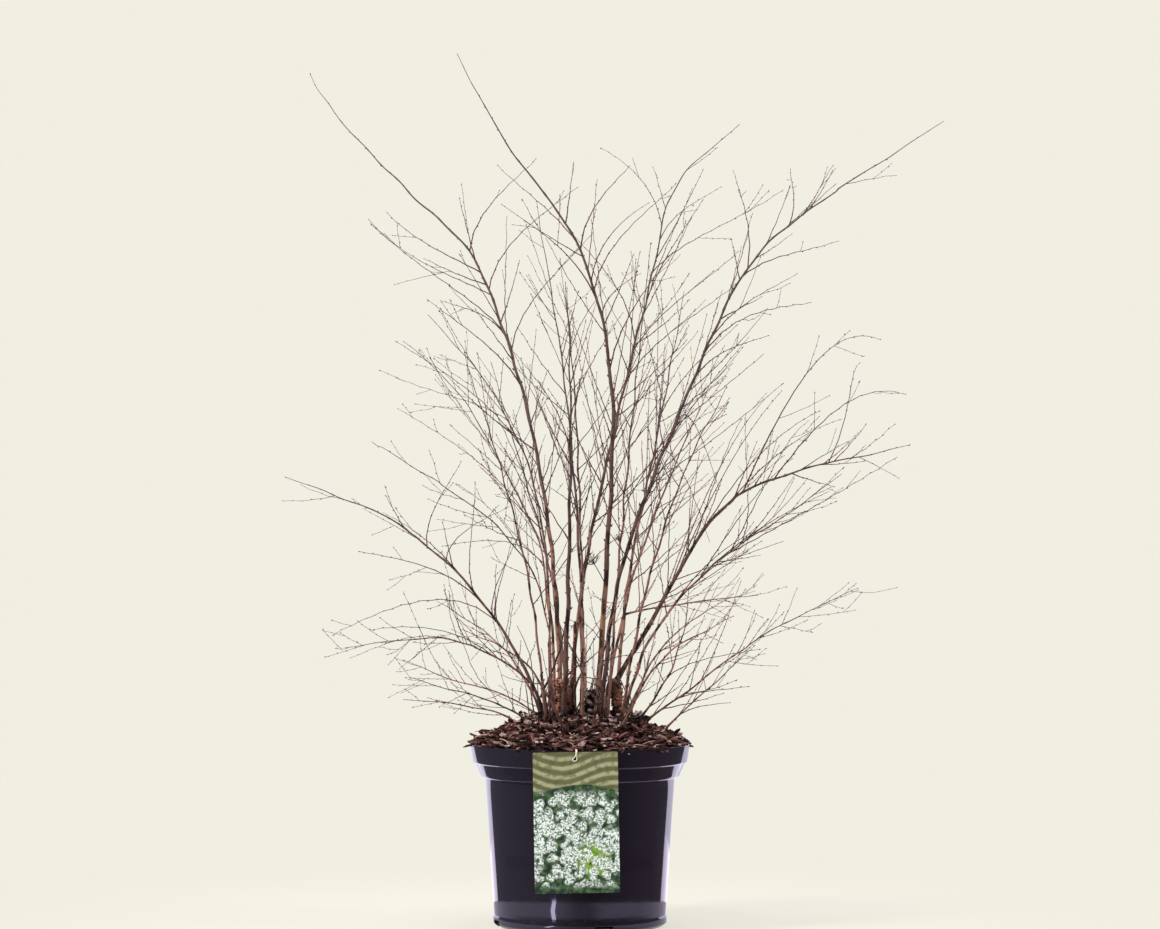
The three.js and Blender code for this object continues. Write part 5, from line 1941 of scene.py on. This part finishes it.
mulch_soil()
chip_patterns = [chip_pattern(name, size, seed)
                 for seed, (name, size) in enumerate(CHIP_SHAPES.items(), 1)]
chip_roll = np.random.default_rng(CHIP_SEED)
for name, (share, size, *colours) in CHIP_COLOURS.items():
    bark_chips(name, chip_patterns, share, size, colours, chip_roll)
straws(chip_roll)

# ------ label

CARD_Y = -RIM_RADIUS - SEAT_GAP - CARD_THICKNESS / 2
CORNER_RADIUS = 2.2
CORNER_CUTS = 5
HOLE_RADIUS = 2.4
HOLE_DROP = 8  # of the hole's middle, below the card's top edge

CLUSTER_SCALE = 17  # clusters and petals for each card's height
PETAL_SCALE = 84
STRIPE_SCALE = 96
BAND_FOOT = 0.735  # share of the card's height where the striped band begins
FRESH_SPOT = (0.42, 0.24, 0)  # the middle of the brightest leaves


def card_shape():
    """A thin plate with rounded corners and a hole, hung on the pot's front."""
    bpy.ops.mesh.primitive_cube_add(size=MM)
    card = fresh("label_face")
    bpy.ops.transform.resize(value=(CARD_WIDTH, CARD_THICKNESS, CARD_HEIGHT))
    shaped(card)
    edit_mode()
    bpy.ops.mesh.select_mode(type="EDGE")
    bpy.ops.mesh.select_all(action="DESELECT")
    edit_mode(False)
    for edge in card.data.edges:
        start, end = (card.data.vertices[v].co for v in edge.vertices)
        edge.select = abs(start.y - end.y) > TINY
    edit_mode()
    bpy.ops.mesh.bevel(offset=CORNER_RADIUS * MM, segments=CORNER_CUTS, affect="EDGES")
    shaped(card)
    bpy.ops.mesh.primitive_cylinder_add(
        vertices=20, radius=HOLE_RADIUS * MM, depth=10 * MM, rotation=(math.pi / 2, 0, 0),
        location=(0, 0, (CARD_HEIGHT / 2 - HOLE_DROP) * MM))
    cut_out(card, shaped(fresh("cutter")))
    card.rotation_euler = (0, math.radians(CARD_TILT), 0)
    card.location = Vector((CARD_X, CARD_Y, CARD_BOTTOM + CARD_HEIGHT / 2)) * MM
    hold(card)
    smooth_below(card, SMOOTH_BELOW)
    return card


def printed_leaves(finish, flat, leaf_tone):
    """Dark green leaves with paler ones among them, and fresh green at one spot."""
    leaves = finish.cells(flat, 34)
    foliage = finish.mix(leaves.ramp(0.2, 0.75), colour(68, 94, 66), colour(34, 54, 44))
    foliage = finish.mix(leaf_tone.ramp(0.5, 0.7) * 0.7, foliage, colour(92, 124, 62))
    away = finish.node("ShaderNodeVectorMath", {"operation": "DISTANCE"}, flat, FRESH_SPOT, output=1)
    freshness = away.ramp(0.17, 0.06) * leaf_tone.ramp(0.35, 0.5)
    return finish.mix(freshness, foliage, colour(116, 156, 42))


def printed_flowers(finish, flat, up, leaf_tone, foliage):
    """Round clusters of white petals before the leaves, densest in the middle."""
    wander = finish.node("ShaderNodeTexNoise", {}, output=1, Vector=flat, Scale=14, Detail=1)
    drift = finish.node("ShaderNodeVectorMath", {"operation": "MULTIPLY_ADD"}, wander,
                        (0.05, 0.05, 0.0), flat)
    clusters = finish.cells(drift, CLUSTER_SCALE, Randomness=0.9)
    petals = finish.cells(drift, PETAL_SCALE)
    crown = up.ramp(0.02, 0.08) * up.ramp(0.74, 0.68) * (leaf_tone + 0.1).ramp(0.22, 0.34)
    sparse = up.ramp(0.0, 0.4, 0.19, -0.04) + up.ramp(0.42, 0.6, 0.0, 0.145)
    white = (clusters + sparse).ramp(0.82, 0.56) * crown * petals.ramp(0.92, 0.56)
    blossom = finish.mix(petals.ramp(0.25, 0.7), colour(234, 241, 240), colour(136, 154, 148))
    return finish.mix(white, foliage, blossom)


def printed_band(finish, across, up, leaf_tone):
    """Wavy olive stripes, darker in places and along the top edge."""
    waves = up + 0.05 * (across * 5).sine()
    stripes = (waves * STRIPE_SCALE).sine()
    shadow = colour(78, 84, 54)
    band = finish.mix(stripes.ramp(-0.7, 1.0), colour(98, 102, 70), colour(158, 160, 126))
    band = finish.mix(leaf_tone.ramp(0.45, 0.65) * 0.6, band, shadow)
    return finish.mix(up.ramp(0.93, 1.0) * 0.35, band, shadow)


def label_finish():
    """A generic print: white flowers on green, under a band of wavy stripes."""
    finish = Finish("label_card", Roughness=0.3, Coat_Weight=0.3, Coat_Roughness=0.12)
    x, _, z = finish.axes(finish.place())
    across = (x - CARD_X * MM) / (CARD_WIDTH * MM) + 0.5
    up = (z - CARD_BOTTOM * MM) / (CARD_HEIGHT * MM)
    flat = finish.node("ShaderNodeCombineXYZ", {}, across * 0.6, up, 0.0)
    leaf_tone = finish.noise(flat, 22, 3)
    foliage = printed_leaves(finish, flat, leaf_tone)
    picture = printed_flowers(finish, flat, up, leaf_tone, foliage)
    band = printed_band(finish, across, up, leaf_tone)
    edge = up - BAND_FOOT - 0.035 * ((across - 0.2) * 4.2).sine()
    finish.feed("Base Color", finish.mix(edge.ramp(-0.004, 0.004), picture, band))
    finish.feed("Roughness", leaf_tone.ramp(0.3, 0.7, 0.26, 0.36))
    return finish.material


finished(card_shape(), label_finish(), ["label_card"])

# ------ tie

TIE_RADIUS = 0.5
TIE_HALF_GAP = 0.6  # from the tie's middle to each of its two runs
TIE_TOP = (inner(-RIM_RADIUS) + 3.4 + 2 * POT_WALL, 231.5)  # y and z, just inside the rim
OVER_RIM = (-138.6, POT_HEIGHT + 1)


def tie_points():
    """Over the rim, down through the card's hole, and back up."""
    hole_z = CARD_BOTTOM + CARD_HEIGHT - HOLE_DROP
    front = CARD_Y - CARD_THICKNESS / 2 - TIE_RADIUS - 0.1
    down = (front - 0.2, POT_HEIGHT - 2)
    left, right = -TIE_HALF_GAP, TIE_HALF_GAP
    points = [(left, *TIE_TOP), (left, *OVER_RIM), (left, *down), (-1.2, front, hole_z + 3),
              (-4.6, front - 0.2, hole_z - 1.2), (-2.6, front, hole_z - 3.2),
              (0.5, front, hole_z - 1.5), (right, front, hole_z + 4), (right, *down),
              (right, *OVER_RIM), (right, *TIE_TOP)]
    return [(CARD_X + x, y, z) for x, y, z in points]


def tie_finish():
    finish = Finish("tie_plastic", Roughness=0.4)
    wear = finish.noise(finish.place(), 600, 2).ramp(0.3, 0.7)
    finish.feed("Base Color", finish.mix(wear, colour(214, 208, 190), colour(234, 230, 218)))
    return finish.material


def label_tie():
    """A thin strand of soft plastic that holds the card."""
    line = smooth_path(tie_points()).points
    finished(bough("tie_cord", line, np.full(len(line), TIE_RADIUS)), tie_finish(), ["label_tie"])


label_tie()

# ------ stage

CREAM = colour(241, 238, 226)
FLOOR_RADIUS = 12
FLOOR_DROP = 0.0002  # below the pot
FLOOR_FADE = [0.1, 0.9, 0.75, 1.0]  # distances, and the backdrop's share at each
DIFFUSE_SHARE = 0.52  # of the backdrop's light, for what isn't seen directly

EYE = (0, -5.2, 0.583)
LENS = 127.37
SENSOR_WIDTH = 36
FAR_CLIP = 60

CARD_STEP = 4  # degrees
LILAC = colour(226, 219, 240)
NEAR_LILAC = colour(220, 212, 234)


def floor_finish():
    """Pale paper that passes into the backdrop away from the pot."""
    finish = Finish("floor_paper", Roughness=0.9, Base_Color=colour(212, 209, 199))
    place = finish.place()
    away = finish.node("ShaderNodeVectorMath", {"operation": "LENGTH"}, place, output=1)
    glow = finish.node("ShaderNodeEmission", {}, Color=CREAM, Strength=1.0)
    finish.bump(finish.noise(place, 900, 2), 0.05)
    paper = Wire(finish, finish.shader.outputs[0])
    blend = finish.node("ShaderNodeMixShader", {}, away.ramp(*FLOOR_FADE), paper, glow)
    surface = next(node for node in finish.tree.nodes if node.type == "OUTPUT_MATERIAL")
    finish.fill(surface.inputs[0], blend)
    return finish.material


def pale_floor():
    bpy.ops.mesh.primitive_circle_add(vertices=96, radius=FLOOR_RADIUS, fill_type="TRIFAN",
                                      location=(0, 0, -FLOOR_DROP))
    floor = bpy.context.object
    floor.name = "floor"
    floor.data.materials.append(floor_finish())
    hold(floor)


def glow_finish(name, turns, radius, tints, strength, fade):
    """Light in one tint, or in one for the left, the middle and the right, with faded ends."""
    finish = Finish(name, Base_Color=(0, 0, 0, 1), Roughness=1.0, Specular_IOR_Level=0.0,
                    Emission_Strength=strength)
    left, middle, right = tints if len(tints) == 3 else tints * 3
    x, y, _ = finish.axes(finish.place())
    tone = finish.mix(x.ramp(-radius, 0), left, middle)
    tone = finish.mix(x.ramp(0.3 * radius, radius), tone, right)
    if fade:
        start, end = np.radians(turns)
        inward = x * math.cos((start + end) / 2) + y * math.sin((start + end) / 2)
        edge = radius * math.cos((end - start) / 2)
        tone = finish.mix(inward.ramp(edge, edge + 0.3 * radius), fade, tone)
    finish.feed("Emission Color", tone)
    return finish.material


def glow_card(name, turns, radii, heights, tints, strength, fade=None):
    """A curved card round the plant that only shiny surfaces see.

    turns: degrees where it starts and ends, 90 at the back. radii and heights: of its lower
    and its upper edge. fade: a darker tint for both its ends.
    """
    count = max(2, int((turns[1] - turns[0]) / CARD_STEP))
    spread = np.radians(np.linspace(*turns, count + 1))
    points = [(radius * math.cos(turn), radius * math.sin(turn), height)
              for radius, height in zip(radii, heights) for turn in spread]
    faces = [(i, i + 1, i + count + 2, i + count + 1) for i in range(count)]
    mesh = bpy.data.meshes.new(name)
    mesh.from_pydata(points, [], faces)
    mesh.materials.append(glow_finish(name + "_light", turns, radii[0], tints, strength, fade))
    card = placed(name, mesh)
    for ray in ("camera", "diffuse", "transmission", "volume_scatter", "shadow"):
        setattr(card, "visible_" + ray, False)


def soft_light(name, place, target, size, power, tint=(1, 1, 1)):
    """A square lamp that isn't seen itself, nor mirrored."""
    lamp = bpy.data.lights.new(name, "AREA")
    lamp.size = size
    lamp.energy = power
    lamp.color = tint
    light = placed(name, lamp)
    light.location = place
    way = Vector(target) - Vector(place)
    light.rotation_euler = way.to_track_quat("-Z", "Y").to_euler()
    light.visible_camera = False
    light.visible_glossy = False


def cream_world():
    """A cream backdrop that lights surfaces less than it shows."""
    world = bpy.data.worlds.new("studio")
    bpy.context.scene.world = world
    world.use_nodes = True
    nodes, links = world.node_tree.nodes, world.node_tree.links
    backdrop = next(node for node in nodes if node.type == "BACKGROUND")
    backdrop.inputs[0].default_value = CREAM
    seen = nodes.new("ShaderNodeLightPath")
    strength = nodes.new("ShaderNodeMapRange")
    strength.inputs[3].default_value = 1.0
    strength.inputs[4].default_value = DIFFUSE_SHARE
    links.new(seen.outputs["Is Diffuse Ray"], strength.inputs[0])
    links.new(strength.outputs[0], backdrop.inputs[1])


def front_camera():
    lens = bpy.data.cameras.new("camera")
    lens.lens = LENS
    lens.sensor_width = SENSOR_WIDTH
    lens.clip_end = FAR_CLIP
    camera = placed("camera", lens)
    camera.location = EYE
    camera.rotation_euler = (math.pi / 2, 0, 0)
    bpy.context.scene.camera = camera


pale_floor()
glow_card("dark_card", (151, 384), (0.268, 0.268), (0.0, 0.7),
          [colour(104, 98, 118), colour(48, 40, 52), colour(96, 84, 100)], 1.0)
glow_card("dark_shelf", (182, 352), (0.19, 0.268), (0.06, 0.06),
          [colour(90, 82, 106), colour(50, 42, 56), colour(80, 68, 86)], 1.0)
glow_card("near_floor", (0, 360), (0.112, 0.27), (0.001, 0.001),
          [NEAR_LILAC, colour(150, 138, 160), NEAR_LILAC], 0.95)
glow_card("floor_glint", (240.2, 244.6), (0.14, 0.268), (0.003, 0.003), [LILAC], 9.0)
glow_card("back_panel", (21, 149), (0.9, 0.9), (0.0, 1.2),
          [LILAC, colour(154, 149, 164), LILAC], 2.8, fade=colour(52, 46, 56))
glow_card("back_floor", (20, 150), (0.27, 0.9), (0.002, 0.002), [LILAC], 2.6)
soft_light("key_light", (-3.0, -1.7, 2.4), (0, 0, 0.5), 0.9, 225, (1, 0.97, 0.94))
soft_light("fill_light", (3.2, -0.9, 1.4), (0, 0, 0.5), 1.4, 50, (0.97, 0.95, 1))
soft_light("top_light", (0.3, 0.2, 3.2), (0, 0, 0.3), 1.2, 50)
cream_world()
bpy.context.scene.view_settings.view_transform = "Standard"
bpy.context.scene.view_settings.look = "None"
front_camera()

# The textures' spaces have done their work.
for thing in list(bpy.data.objects):
    if thing.type == "EMPTY" and thing.name.endswith("_space"):
        bpy.data.objects.remove(thing)
